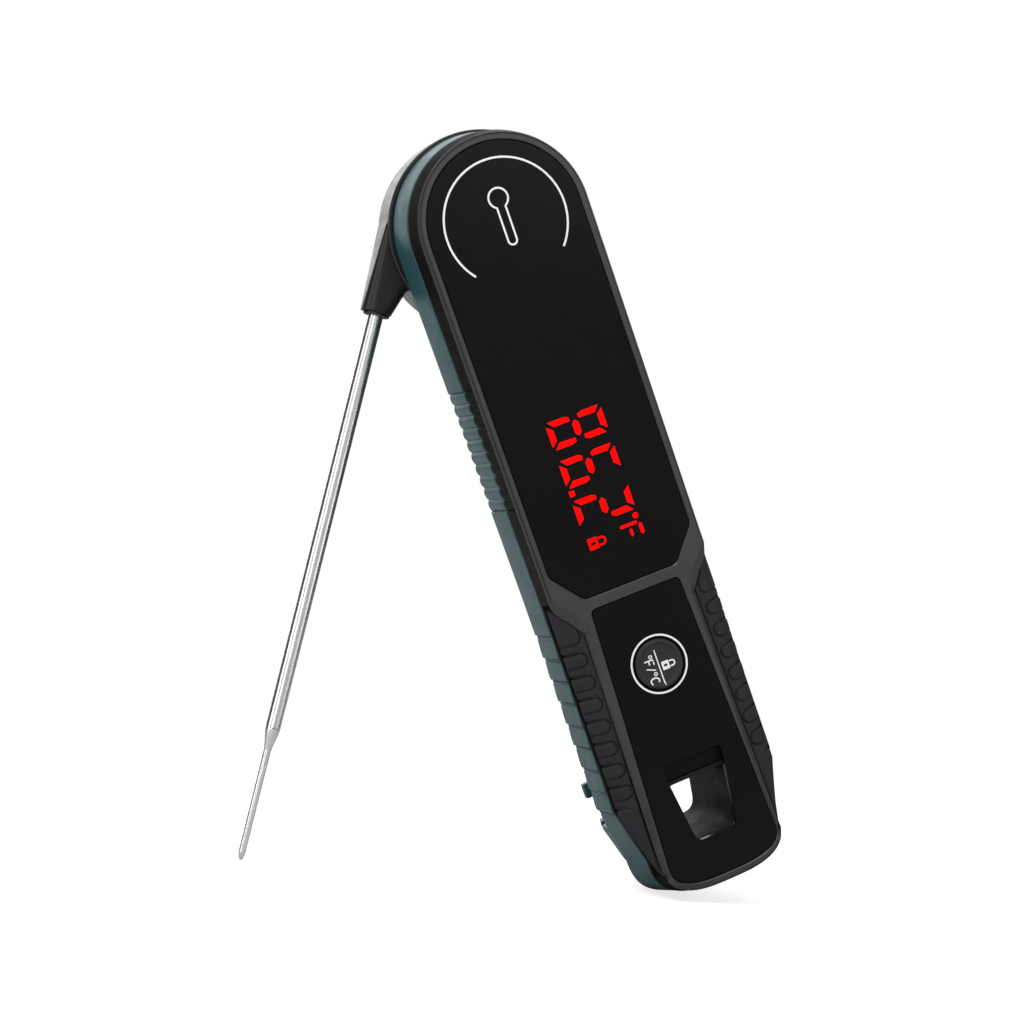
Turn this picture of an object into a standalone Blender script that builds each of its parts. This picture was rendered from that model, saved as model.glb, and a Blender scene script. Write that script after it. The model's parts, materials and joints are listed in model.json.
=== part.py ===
"""Folding probe thermometer for outdoor cooking, as separate parts.

Every part is drawn in the body's own frame, in millimetres: x to the right, y from the front face
towards the back, z from the foot to the head, with the probe's hinge axis through x = z = 0.
The empty "body_frame" then leans the body, with the middle of its magnetic back at the origin.
"""

import math

import bmesh
import bpy
from mathutils import Vector

MM = 0.001

# How the thermometer is held by its magnetic back: the lean of the body, which sets the foot and the
# tip of the open probe level, how far the probe is open, and the point of the back at the origin.
LEAN = math.radians(26.076)
PROBE_OPEN = math.radians(34.3)
ORIGIN_Z = -102.0

# Depths of the layers, front to back.
FRAME_BACK = 1.4
RECESS_FLOOR = 1.7
FRONT_FLOOR = 3.0
GRIP_SEAT = 4.25
SEAM = 5.4
GAP = 0.3
INNER_BACK = 13.6
LEDGE = 15.4
HUB_FRONT = 15.9
HUB_BACK = 26.6
SPINE_BACK = 26.8

# Body layers as (head radius, half width below the neck, half width of the foot, lowest z).
LIP_LAYER = (18.4, 18.1, 14.0, -145.7)
RIM_LAYER = (18.8, 18.3, 14.4, -146.1)
SEAM_LAYER = (19.4, 18.6, 15.3, -146.6)
BACK_LAYER = (20.3, 19.6, 18.15, -147.6)
NECK_Z_END = -75.0
TAPER_Z = -124.0
FOOT_START_Z = -136.5
WALL = 2.6

# Front frame and its two panels.
FRAME_HALF = 17.95
WAIST_TOP_HALF = 17.7
WAIST_TOP_Z = -77.0
WAIST_HALF = 12.6
WAIST_BOTTOM_Z = -83.0
FRAME_FOOT_HALF = 13.75
FRAME_BOTTOM_Z = -145.3
WINDOW_HALF = 16.7
WINDOW_END_HALF = 15.9
WINDOW_BOTTOM_Z = -78.3
LOWER_PANEL_TOP_Z = -81.6
LOWER_PANEL_TOP_HALF = 10.2
LOWER_PANEL_FOOT_HALF = 12.4
LOWER_PANEL_BOTTOM_Z = -143.9
PANEL_FRONT = 0.15
PANEL_BACK = 1.35

# Button and the hanging hole.
BUTTON_Z = -97.3
BUTTON_RADIUS = 5.3
BUTTON_TRAVEL = 0.6
SWITCH_FRONT = 6.0
HOLE_TOP_Z = -122.2
HOLE_BOTTOM_Z = -135.6
HOLE_TOP_HALF = 6.9
HOLE_BOTTOM_HALF = 4.7
LINER_WALL = 1.1

# Back of the case.
SPINE_HALF = 10.7
SPINE_TOP_Z = -24.5
FOOT_BLOCK_Z = -129.4
CELL_RADIUS = 5.25
CELL_LENGTH = 44.5
CELL_Y = 19.0
CELL_Z = -66.0
COVER_HALF = 8.4
COVER_TOP_Z = -36.5
COVER_BOTTOM_Z = -97.5
COVER_SCREW_Z = -95.3
SEAL_BOTTOM_Z = -92.9

# Probe and its hub, drawn folded, with the probe pointing down along the body.
HUB_RADIUS = 21.1
PROBE_X = -17.3
PROBE_Y = 21.7
NOSE_START_Z = -1.3
NOSE_END_Z = -22.8
NOSE_LEFT = -20.75
TUBE_RADIUS = 1.6
TUBE_BORE = 1.1
NECK_Z = -112.0
THIN_Z = -117.5
THIN_RADIUS = 0.78
TIP_Z = -140.7
BEAD_Z = -136.4
AXLE_RADIUS = 4.5

GRIP_PITCH = 4.95
GRIP_OUTER = 18.1
GRIP_NOTCHES = 9
GRIP_FIRST_Z = -81.9
GRIP_NOTCH_DEPTH = 0.55
RIB_PITCH = 2.58
RIB_COUNT = 10
RIB_FIRST_Z = -31.0
RIB_DEPTH = 0.5
MAGNET_SPOTS = (-31.0, -110.5)
SCREW_SPOTS = [(side * 13.6, z) for z in (-34.0, -114.0) for side in (-1, 1)]


def clear_scene():
    for obj in list(bpy.data.objects):
        bpy.data.objects.remove(obj, do_unlink=True)


def srgb(*levels):
    """Linear colour from 8-bit display levels."""
    return [
        level / 255 / 12.92 if level <= 10 else ((level / 255 + 0.055) / 1.055) ** 2.4
        for level in levels
    ]


def material(name, colour, roughness, metallic=0.0):
    made = bpy.data.materials.new(name)
    made.use_nodes = True
    shader = made.node_tree.nodes["Principled BSDF"]
    shader.inputs["Base Color"].default_value = (*srgb(*colour), 1.0)
    shader.inputs["Roughness"].default_value = roughness
    shader.inputs["Metallic"].default_value = metallic
    made.diffuse_color = (*srgb(*colour), 1.0)
    return made


def add_empty(name, parent=None, location=(0, 0, 0), turn=0.0):
    empty = bpy.data.objects.new(name, None)
    bpy.context.collection.objects.link(empty)
    empty.parent = parent
    empty.location = [value * MM for value in location]
    empty.rotation_euler = (0, turn, 0)
    return empty


def add_mesh(name, bm, parent, finish):
    bmesh.ops.recalc_face_normals(bm, faces=bm.faces)
    mesh = bpy.data.meshes.new(name)
    bm.to_mesh(mesh)
    bm.free()
    obj = bpy.data.objects.new(name, mesh)
    bpy.context.collection.objects.link(obj)
    obj.parent = parent
    if finish:
        mesh.materials.append(finish)
    return obj


def loft(name, rings, parent, finish, closed=False):
    """A solid through rings of points. A closed loft joins its last ring to its first."""
    bm = bmesh.new()
    loops = [[bm.verts.new(Vector(point) * MM) for point in ring] for ring in rings]
    pairs = list(zip(loops, loops[1:]))
    if closed:
        pairs.append((loops[-1], loops[0]))
    for first, second in pairs:
        for i in range(len(first)):
            j = (i + 1) % len(first)
            bm.faces.new((first[i], first[j], second[j], second[i]))
    if not closed:
        bm.faces.new(loops[0])
        bm.faces.new(loops[-1])
    return add_mesh(name, bm, parent, finish)


def at_depth(outline, y):
    return [(x, y, z) for x, z in outline]


def prism(name, outline, front, back, parent=None, finish=None):
    return loft(name, [at_depth(outline, front), at_depth(outline, back)], parent, finish)


def arc(centre_x, centre_z, radius, start, end, steps):
    """Points of an arc from start to end, in degrees from +x towards +z."""
    angles = [math.radians(start + (end - start) * i / steps) for i in range(steps + 1)]
    return [(centre_x + radius * math.cos(a), centre_z + radius * math.sin(a)) for a in angles]


def circle(centre_x, centre_z, radius, steps):
    return arc(centre_x, centre_z, radius, 0, 360, steps)[:-1]


def lathe(name, profile, parent, finish, centre=(0, 0), steps=40, bore=False, along_z=False):
    """A turned solid from (radius, distance along the axis) pairs. With a bore, the profile closes on itself."""
    rings = []
    for radius, distance in profile:
        ring = circle(0, 0, radius, steps)
        if along_z:
            rings.append([(centre[0] + u, centre[1] + v, distance) for u, v in ring])
        else:
            rings.append([(centre[0] + u, distance, centre[1] + v) for u, v in ring])
    return loft(name, rings, parent, finish, closed=bore)


def box(name, low, high, parent=None, finish=None):
    outline = [(low[0], low[2]), (high[0], low[2]), (high[0], high[2]), (low[0], high[2])]
    return prism(name, outline, low[1], high[1], parent, finish)


def wire(name, points, radius, parent, finish):
    """A round wire through the points."""
    curve = bpy.data.curves.new(name, "CURVE")
    curve.dimensions = "3D"
    curve.bevel_depth = radius * MM
    curve.bevel_resolution = 1
    curve.use_fill_caps = True
    spline = curve.splines.new("POLY")
    spline.points.add(len(points) - 1)
    for point, place in zip(spline.points, points):
        point.co = (*[value * MM for value in place], 1)
    curve.materials.append(finish)
    obj = bpy.data.objects.new(name, curve)
    bpy.context.collection.objects.link(obj)
    obj.parent = parent


def combine(obj, tool, operation="DIFFERENCE"):
    """Keeps the Boolean as a modifier, with its tool as a hidden wire object in the same frame."""
    tool.parent = obj.parent
    tool.hide_render = True
    tool.display_type = "WIRE"
    change = obj.modifiers.new(tool.name, "BOOLEAN")
    change.operation = operation
    change.solver = "EXACT"
    change.object = tool


def rounded(corners, radius, steps=4):
    """A polygon with its corners turned into short arcs."""
    points = []
    for i, corner in enumerate(corners):
        here = Vector(corner)
        before = (Vector(corners[i - 1]) - here).normalized()
        after = (Vector(corners[(i + 1) % len(corners)]) - here).normalized()
        half_angle = before.angle(after) / 2
        reach = radius / math.tan(half_angle)
        start, end = here + before * reach, here + after * reach
        for step in range(steps + 1):
            t = step / steps
            points.append(tuple(start * (1 - t) ** 2 + here * 2 * t * (1 - t) + end * t**2))
    return points


def foot_curve(half, start, bottom, fullness=2.95, steps=20):
    """The rounded lower end of an outline, from its left side to its right side."""
    points = []
    for i in range(steps + 1):
        across, down = math.cos(math.pi * i / steps), math.sin(math.pi * i / steps)
        x = -half * math.copysign(abs(across) ** (2 / fullness), across)
        points.append((x, start - (start - bottom) * abs(down) ** (2 / fullness)))
    return points


def body_outline(layer, inset=0.0):
    """Outline of a body layer: round head, sides, then a taper to the rounded foot."""
    head, low, foot, bottom = layer
    half = low - inset
    left = [(-half, NECK_Z_END), (-half, TAPER_Z)]
    right = [(half, TAPER_Z), (half, NECK_Z_END)]
    foot_end = foot_curve(foot - inset, FOOT_START_Z, bottom + inset)
    return arc(0, 0, head - inset, 0, 180, 36) + left + foot_end + right


def frame_outline(grow=0.0):
    """Outline of the front frame, which steps in at the waist."""
    waist = WAIST_HALF + grow
    left = [(-WAIST_TOP_HALF - grow, WAIST_TOP_Z), (-waist, WAIST_BOTTOM_Z - grow), (-waist, WAIST_BOTTOM_Z - 8)]
    right = [(-x, z) for x, z in reversed(left)]
    foot_end = foot_curve(FRAME_FOOT_HALF + grow, FOOT_START_Z, FRAME_BOTTOM_Z - grow)
    return arc(0, 0, FRAME_HALF + grow, 0, 180, 36) + left + foot_end + right


def frame_half_at(z):
    """Half width of the frame beside the lower panel."""
    start = WAIST_BOTTOM_Z - 8
    share = min(max((start - z) / (start - FOOT_START_Z), 0), 1)
    return WAIST_HALF + share * (FRAME_FOOT_HALF - WAIST_HALF)


def window_outline(grow=0.0):
    half, end_half = WINDOW_HALF + grow, WINDOW_END_HALF + grow
    bottom = WINDOW_BOTTOM_Z - grow
    corners = rounded([(-end_half, -60), (-end_half, -70.5), (-12.0 - grow * 0.6, bottom), (0, bottom)], 2.2, 3)[4:12]
    return arc(0, 0, half, 0, 180, 36) + corners + [(-x, z) for x, z in reversed(corners)]


def lower_panel_outline(grow=0.0):
    top, bottom = LOWER_PANEL_TOP_HALF + grow, LOWER_PANEL_FOOT_HALF + grow
    high, low = LOWER_PANEL_TOP_Z + grow, LOWER_PANEL_BOTTOM_Z - grow
    left_top = rounded([(0, high), (-top, high), (-top, high - 10), (0, high - 10)], 1.4, 3)[4:8]
    foot_end = foot_curve(bottom, FOOT_START_Z - 1.0, low, 2.8)
    return left_top + foot_end + [(-x, z) for x, z in reversed(left_top)]


def hole_outline(grow=0.0):
    top, bottom = HOLE_TOP_HALF + grow, HOLE_BOTTOM_HALF + grow
    high, low = HOLE_TOP_Z + grow, HOLE_BOTTOM_Z - grow
    return rounded([(top, high), (-top, high), (-bottom, low), (bottom, low)], 1.3)


def cavity_outline(floor):
    """Outline of a cavity that follows the body down to a flat floor."""
    head, low = SEAM_LAYER[0] - WALL, SEAM_LAYER[1] - WALL
    sides = [(-low, NECK_Z_END), (-low, floor), (low, floor), (low, NECK_Z_END)]
    return arc(0, 0, head, 0, 180, 36) + (sides if floor < NECK_Z_END else [(-low, floor), (low, floor)])


def rib_cutter(side, half):
    """Outline of the scallops that leave thumb ribs down one side of the neck."""
    top, length = RIB_FIRST_Z + 0.5, RIB_PITCH * RIB_COUNT
    per_rib = 6
    steps = RIB_COUNT * per_rib
    waves = []
    for i in range(steps + 1):
        depth = RIB_DEPTH * (0.5 + 0.5 * math.cos(2 * math.pi * i / per_rib)) + 0.15
        waves.append((half - depth, top - length * i / steps))
    return [(side * x, z) for x, z in [(half + 4, top)] + waves + [(half + 4, top - length)]]


def make_frame(root, finishes):
    frame = loft(
        "front_frame",
        [at_depth(frame_outline(-0.3), 0), at_depth(frame_outline(), 0.3), at_depth(frame_outline(), FRAME_BACK)],
        root,
        finishes["frame"],
    )
    combine(frame, prism("window_cut", window_outline(GAP), -1, 3))
    combine(frame, prism("lower_panel_cut", lower_panel_outline(GAP), -1, 3))


def make_panels(root, finishes):
    prism("display_window", window_outline(), PANEL_FRONT, PANEL_BACK, root, finishes["gloss"])
    panel = prism("lower_panel", lower_panel_outline(), PANEL_FRONT, PANEL_BACK, root, finishes["gloss"])
    combine(panel, prism("panel_button_cut", circle(0, BUTTON_Z, BUTTON_RADIUS + GAP, 40), -1, 3))
    cut = [(7.0, -119.0), (-7.0, -119.0), (-4.7, HOLE_BOTTOM_Z), (4.7, HOLE_BOTTOM_Z)]
    combine(panel, prism("panel_hole_cut", rounded(cut, 1.3), -1, 3))


def grip_seat(side):
    """Region beside the lower frame that the front shell leaves to the rubber grip."""
    inner = [(WAIST_HALF, WAIST_BOTTOM_Z), (WAIST_HALF, WAIST_BOTTOM_Z - 8), (frame_half_at(-137.5), -137.5)]
    outer = [(40, -137.5), (40, WAIST_TOP_Z), (FRAME_HALF, WAIST_TOP_Z)]
    return [(side * x, z) for x, z in inner + outer]


def make_front_shell(root, finishes):
    layers = [(LIP_LAYER, 0.45), (RIM_LAYER, 1.9), (SEAM_LAYER, SEAM)]
    rings = [at_depth(body_outline(layer), y) for layer, y in layers]
    shell = loft("front_shell", rings, root, finishes["black"])
    combine(shell, prism("frame_recess_cut", frame_outline(GAP), -2, RECESS_FLOOR))
    for side, name in ((-1, "left"), (1, "right")):
        combine(shell, prism(f"grip_seat_cut_{name}", grip_seat(side), -2, GRIP_SEAT))
        combine(shell, prism(f"front_rib_cut_{name}", rib_cutter(side, SEAM_LAYER[0] - 0.3), 2.2, 8))
    combine(shell, prism("front_cavity_upper_cut", cavity_outline(-74), FRONT_FLOOR, 8))
    combine(shell, box("front_cavity_lower_cut", (-10.8, FRONT_FLOOR, -117), (10.8, 8, -73)))
    combine(shell, box("display_opening_cut", (-10.5, 0, -73.0), (10.5, 4, -40.0)))
    combine(shell, prism("button_bore_cut", circle(0, BUTTON_Z, BUTTON_RADIUS + GAP, 40), -2, 8))
    combine(shell, prism("front_hole_cut", hole_outline(LINER_WALL + GAP), -2, 8))
    for index, (x, z) in enumerate(SCREW_SPOTS, 1):
        base = FRONT_FLOOR - 0.6 if z > WAIST_TOP_Z else SEAM - 1.1
        combine(shell, prism(f"screw_boss_{index}", circle(x, z, 2.3, 20), base, 11), "UNION")
        combine(shell, prism(f"screw_pilot_{index}_cut", circle(x, z, 1.3, 16), SEAM - 0.4, 12))


def grip_section(side, inner, edge, outer, z_inner, z_outer):
    """One cross-section of a grip: a flat front band, then a slope out to the side of the body."""
    back = GRIP_SEAT - GAP
    points = [
        (inner, 0.4, z_inner),
        (edge, 0.4, z_outer if z_inner == z_outer else (z_inner + z_outer) / 2),
        (outer, back - 0.7, z_outer),
        (outer, back, z_outer),
        (inner, back, z_inner),
    ]
    return [(side * x, y, z) for x, y, z in points]


def make_grips(root, finishes):
    for side, name in ((-1, "left"), (1, "right")):
        start = WAIST_HALF + GAP
        sections = [grip_section(side, start, 15.4, 17.8, WAIST_BOTTOM_Z - 0.7, WAIST_TOP_Z - 0.9)]
        for notch in range(GRIP_NOTCHES):
            top = GRIP_FIRST_Z - notch * GRIP_PITCH - 2.6
            for z, cut in ((top, 0.0), (top - GRIP_PITCH + 0.9, 0.05), (top - GRIP_PITCH + 0.3, GRIP_NOTCH_DEPTH)):
                outer = GRIP_OUTER - cut
                sections.append(grip_section(side, frame_half_at(z) + GAP, 15.4, outer, z, z))
        for z, outer in ((-130.8, 16.4), (-133.8, 15.35), (-136.2, 14.5)):
            inner = frame_half_at(z) + GAP
            sections.append(grip_section(side, inner, inner + (outer - inner) * 0.55, outer, z, z))
        loft(f"grip_{name}", sections, root, finishes["rubber"])


def make_rear_shell(root, finishes):
    layers = [(SEAM_LAYER, 0, SEAM + GAP), (BACK_LAYER, 0, 14.4), (BACK_LAYER, 0.3, 15.1), (BACK_LAYER, 0.9, LEDGE)]
    rings = [at_depth(body_outline(layer, inset), y) for layer, inset, y in layers]
    shell = loft("rear_shell", rings, root, finishes["teal"])
    spine = [(-SPINE_HALF, FOOT_BLOCK_Z - 4), (SPINE_HALF, FOOT_BLOCK_Z - 4)]
    spine += [(SPINE_HALF, SPINE_TOP_Z), (-SPINE_HALF, SPINE_TOP_Z)]
    combine(shell, prism("spine", rounded(spine, 2.5), LEDGE - 1, SPINE_BACK), "UNION")
    block = [(-18.5, FOOT_BLOCK_Z), (-16.6, -138.6), (-14.0, -142.6), (-8.0, -145.2)]
    block += [(-x, z) for x, z in reversed(block)]
    block_front = at_depth(block, LEDGE - 1)
    block_back = [(x * 0.92, SPINE_BACK, z + 0.4 * (z < -140)) for x, z in block]
    combine(shell, loft("foot_block", [block_front, at_depth(block, 20.4), block_back], None, None), "UNION")
    combine(shell, box("tip_slot_cut", (-30, PROBE_Y - 1.5, -142.4), (PROBE_X + 1.6, PROBE_Y + 1.5, FOOT_BLOCK_Z + 3)))
    for side, name in ((-1, "left"), (1, "right")):
        combine(shell, prism(f"rear_rib_cut_{name}", rib_cutter(side, SEAM_LAYER[0] + 0.2), 0, LEDGE - 1.6))
    combine(shell, prism("rear_cavity_cut", cavity_outline(-117.5), 0, INNER_BACK))
    combine(shell, prism("axle_bore_cut", circle(0, 0, AXLE_RADIUS + GAP, 32), 10, 20))
    low, high = CELL_Z - CELL_LENGTH / 2 - 4.2, CELL_Z + CELL_LENGTH / 2 + 1.2
    combine(shell, box("cell_bay_cut", (-6.2, LEDGE - 2.6, low), (6.2, 30, high)))
    combine(shell, prism("cover_seat_cut", cover_outline(GAP), SPINE_BACK - 2.9, 30))
    combine(shell, prism("cover_screw_way_cut", circle(0, COVER_SCREW_Z, 1.65, 20), 20.4, 30))
    combine(shell, prism("rear_hole_cut", hole_outline(LINER_WALL + GAP), 0, 30))
    for index, (x, z) in enumerate(SCREW_SPOTS, 1):
        combine(shell, prism(f"screw_way_{index}_cut", circle(x, z, 1.7, 16), 10, 20))
        combine(shell, prism(f"screw_sink_{index}_cut", circle(x, z, 2.7, 24), LEDGE - 1.1, 20))
    for index, z in enumerate(MAGNET_SPOTS, 1):
        combine(shell, prism(f"magnet_pocket_{index}_cut", circle(0, z, 4.3, 32), SPINE_BACK - 2.4, 30))
    groove_outer, groove_inner = body_outline(SEAM_LAYER, 0.8), body_outline(SEAM_LAYER, 2.0)
    rings = [(groove_outer, 4), (groove_outer, 6.9), (groove_inner, 6.9), (groove_inner, 4)]
    combine(shell, loft("gasket_groove_cut", [at_depth(o, y) for o, y in rings], None, None, closed=True))


def make_gasket(root, finishes):
    outer, inner = body_outline(SEAM_LAYER, 1.1), body_outline(SEAM_LAYER, 1.7)
    rings = [(outer, 5.75), (outer, 6.55), (inner, 6.55), (inner, 5.75)]
    loft("case_gasket", [at_depth(o, y) for o, y in rings], root, finishes["seal"], closed=True)


def cover_outline(grow=0.0, bottom=COVER_BOTTOM_Z):
    half, low, high = COVER_HALF + grow, bottom - grow, COVER_TOP_Z + grow
    return rounded([(half, low), (half, high), (-half, high), (-half, low)], 2.0)


def make_battery(root, finishes):
    low, high = CELL_Z - CELL_LENGTH / 2, CELL_Z + CELL_LENGTH / 2
    cell = [(CELL_RADIUS, low), (CELL_RADIUS, high - 1.0), (1.9, high - 1.0), (1.9, high)]
    lathe("battery_cell", cell, root, finishes["cell"], (0, CELL_Y), 32, along_z=True)
    box("battery_contact", (-4.6, CELL_Y - 4.6, high + GAP), (4.6, CELL_Y + 4.6, high + 0.8), root, finishes["plated"])
    make_coil_spring(root, finishes, low)
    cover = prism("battery_cover", cover_outline(), SPINE_BACK - 1.9, SPINE_BACK, root, finishes["teal"])
    combine(cover, prism("cover_screw_cut", circle(0, COVER_SCREW_Z, 1.65, 20), 20, 30))
    screw = [(1.35, SPINE_BACK - 0.5), (1.35, SPINE_BACK - 5.0), (0.9, SPINE_BACK - 5.0), (0.9, SPINE_BACK - 5.6)]
    lathe("cover_screw", screw, root, finishes["steel"], (0, COVER_SCREW_Z), 20)
    rim = [(0.4, 2.2), (0.4, 2.75), (1.0, 2.75), (1.0, 2.2)]
    rings = [at_depth(cover_outline(-inset, SEAL_BOTTOM_Z), SPINE_BACK - depth) for inset, depth in rim]
    loft("cover_seal", rings, root, finishes["seal"], closed=True)


def make_coil_spring(root, finishes, cell_end):
    """Conical coil that presses on the flat end of the cell."""
    turns, steps = 3.5, 14
    count = int(turns * steps)
    points = []
    for i in range(count + 1):
        angle = 2 * math.pi * i / steps
        share = i / count
        radius = 2.0 + 1.9 * share
        z = cell_end - 0.7 - 3.0 * share
        points.append((radius * math.cos(angle), CELL_Y + radius * math.sin(angle), z))
    wire("battery_spring", points, 0.3, root, finishes["plated"])


def make_electronics(root, finishes):
    board = box("circuit_board", (-10.4, 7.6, -116.0), (10.4, 8.9, 6.0), root, finishes["board"])
    combine(board, box("board_notch_cut", (-12, 7, -120), (-8.0, 9.5, -106)))
    box("display_module", (-10.0, 3.4, -72.6), (10.0, 7.2, -40.4), root, finishes["display"])
    switch = [(3.0, 7.3), (3.0, 6.5), (1.5, 6.2), (1.2, SWITCH_FRONT)]
    lathe("dome_switch", switch, root, finishes["steel"], (0, BUTTON_Z), 24)
    ring = [(6.95, 3.3), (8.3, 3.3), (8.3, 5.0), (6.95, 5.0)]
    lathe("button_seal", ring, root, finishes["seal"], (0, BUTTON_Z), 32, bore=True)
    reed = [(0.5, 4.2), (1.0, 4.8), (1.0, 12.4), (0.5, 13.0)]
    rings = [[(d, 10.4 + u, -4.0 + v) for u, v in circle(0, 0, r, 12)] for r, d in reed]
    loft("reed_switch", rings, root, finishes["glass"])


def make_button(button_frame, finishes):
    back = 4.2
    plunger_end = SWITCH_FRONT - BUTTON_TRAVEL - 0.2
    profile = [
        (0.6, 0.5),
        (3.4, 0.3),
        (4.5, -0.12),
        (4.95, -0.12),
        (BUTTON_RADIUS, 0.2),
        (BUTTON_RADIUS, 3.35),
        (6.6, 3.35),
        (6.6, back),
        (1.6, back),
        (1.6, plunger_end),
    ]
    lathe("button_cap", profile, button_frame, finishes["button"], steps=40)


def make_hanging_hole(root, finishes):
    outer, inner = hole_outline(LINER_WALL), hole_outline()
    rings = [(outer, 1.65), (outer, SPINE_BACK - 0.1), (inner, SPINE_BACK - 0.1), (inner, 1.65)]
    loft("hanging_hole_liner", [at_depth(o, y) for o, y in rings], root, finishes["frame"], closed=True)


def make_probe_clip(root, finishes):
    """Finger beside the spine that the folded probe snaps under."""
    low, high = -123.6, -120.3
    profile = [(-SPINE_HALF - GAP, 22.9), (-18.6, 22.9), (-18.6, 24.4), (-17.0, 25.3), (-SPINE_HALF - GAP, 25.3)]
    rings = [[(x, y, z) for x, y in profile] for z in (low, high)]
    loft("probe_clip", rings, root, finishes["teal_dark"])


def make_magnets(root, finishes):
    for index, z in enumerate(MAGNET_SPOTS, 1):
        profile = [(4.0, SPINE_BACK - 2.1), (4.0, SPINE_BACK - 0.15), (3.7, SPINE_BACK)]
        lathe(f"magnet_{index}", profile, root, finishes["plated"], (0, z), 32)


def make_screws(root, finishes):
    for index, (x, z) in enumerate(SCREW_SPOTS, 1):
        profile = [(1.0, 6.2), (1.0, LEDGE - 0.8), (2.4, LEDGE - 0.8), (2.4, LEDGE - 0.2), (2.0, LEDGE + 0.2)]
        screw = lathe(f"case_screw_{index}", profile, root, finishes["steel"], (x, z), 20)
        for name, across, down in (("wide", 1.5, 0.3), ("tall", 0.3, 1.5)):
            slot = [(x + across, z + down), (x - across, z + down), (x - across, z - down), (x + across, z - down)]
            combine(screw, prism(f"screw_{index}_slot_{name}_cut", slot, LEDGE - 0.5, LEDGE + 2))


def make_pivot(root, probe_frame, finishes):
    axle = [
        (2.0, 11.6),
        (7.0, 11.6),
        (7.0, 13.3),
        (AXLE_RADIUS, 13.3),
        (AXLE_RADIUS, 19.4),
        (3.9, 19.4),
        (3.9, 20.5),
        (AXLE_RADIUS, 20.5),
        (AXLE_RADIUS, 21.3),
        (2.0, 21.3),
    ]
    lathe("pivot_axle", axle, root, finishes["steel"], steps=32, bore=True)
    clip = arc(0, 0, 6.6, 25, 335, 28) + arc(0, 0, 4.15, 335, 25, 28)
    prism("retaining_clip", clip, 19.65, 20.25, root, finishes["steel"])
    ring = [(8.9 + 0.5 * math.cos(a), 16.15 + 0.5 * math.sin(a)) for a in [math.pi * i / 5 for i in range(10)]]
    lathe("pivot_o_ring", ring, probe_frame, finishes["seal"], steps=40, bore=True)
    rings = []
    for radius, thickness in ((4.8, 0), (8.6, 0), (8.6, 0.25), (4.8, 0.25)):
        wave = [0.12 * math.cos(6 * math.pi * i / 36) for i in range(36)]
        spots = circle(0, 0, radius, 36)
        rings.append([(x, 19.02 + thickness + lift, z) for (x, z), lift in zip(spots, wave)])
    loft("friction_spring", rings, probe_frame, finishes["steel"], closed=True)


def nose_section(z, left, right, front, back, corner):
    outline = rounded([(left, front), (right, front), (right, back), (left, back)], corner, 5)
    return [(x, y, z) for x, y in outline]


def make_hub(probe_frame, finishes):
    """Round hub with a nose for the probe, drawn solid and then cut for the axle, seal and tube."""
    profile = [
        (3.0, HUB_FRONT),
        (HUB_RADIUS - 0.3, HUB_FRONT),
        (HUB_RADIUS, HUB_FRONT + 0.3),
        (HUB_RADIUS, HUB_BACK - 1.2),
        (HUB_RADIUS - 0.4, HUB_BACK - 0.4),
        (HUB_RADIUS - 1.2, HUB_BACK),
        (3.0, HUB_BACK),
    ]
    hub = lathe("probe_hub", profile, probe_frame, finishes["hub"], steps=64)
    top = (HUB_FRONT + 0.15, HUB_BACK - 0.2, -8.0, 0.7)
    end = (18.6, 24.8, -14.2, 3.08)
    sections = []
    for share in (0.0, 0.33, 0.66, 1.0):
        front, back, right, corner = [a + (b - a) * share for a, b in zip(top, end)]
        z = NOSE_START_Z + (NOSE_END_Z - NOSE_START_Z) * share
        sections.append(nose_section(z, NOSE_LEFT, right, front, back, corner))
    combine(hub, loft("probe_nose", sections, None, None), "UNION")
    combine(hub, lathe("hub_pocket_cut", [(14.7, 18.6), (14.7, 30)], None, None, steps=48))
    combine(hub, lathe("hub_axle_cut", [(AXLE_RADIUS + GAP, 10), (AXLE_RADIUS + GAP, 20)], None, None, steps=32))
    groove = [(7.9, 10), (9.9, 10), (9.9, HUB_FRONT + 1.2), (7.9, HUB_FRONT + 1.2)]
    combine(hub, lathe("hub_seal_cut", groove, None, None, bore=True))
    bore = [(TUBE_RADIUS + GAP, -40), (TUBE_RADIUS + GAP, -9.4)]
    combine(hub, lathe("tube_bore_cut", bore, None, None, (PROBE_X, PROBE_Y), 20, along_z=True))
    combine(hub, box("lead_way_cut", (PROBE_X - 1.2, PROBE_Y - 1.4, -12.4), (-10.0, PROBE_Y + 1.4, -6.4)))
    cover = [(3.0, HUB_BACK - 2.0), (14.35, HUB_BACK - 2.0), (14.35, HUB_BACK - 0.6), (13.9, HUB_BACK - 0.2)]
    cover += [(3.0, HUB_BACK - 0.2)]
    lathe("hub_cover", cover, probe_frame, finishes["hub"], steps=48)
    magnet = [(2.0, 18.9), (2.0, 20.9)]
    lathe("wake_magnet", magnet, probe_frame, finishes["plated"], (11.2, 0), 20)


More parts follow.
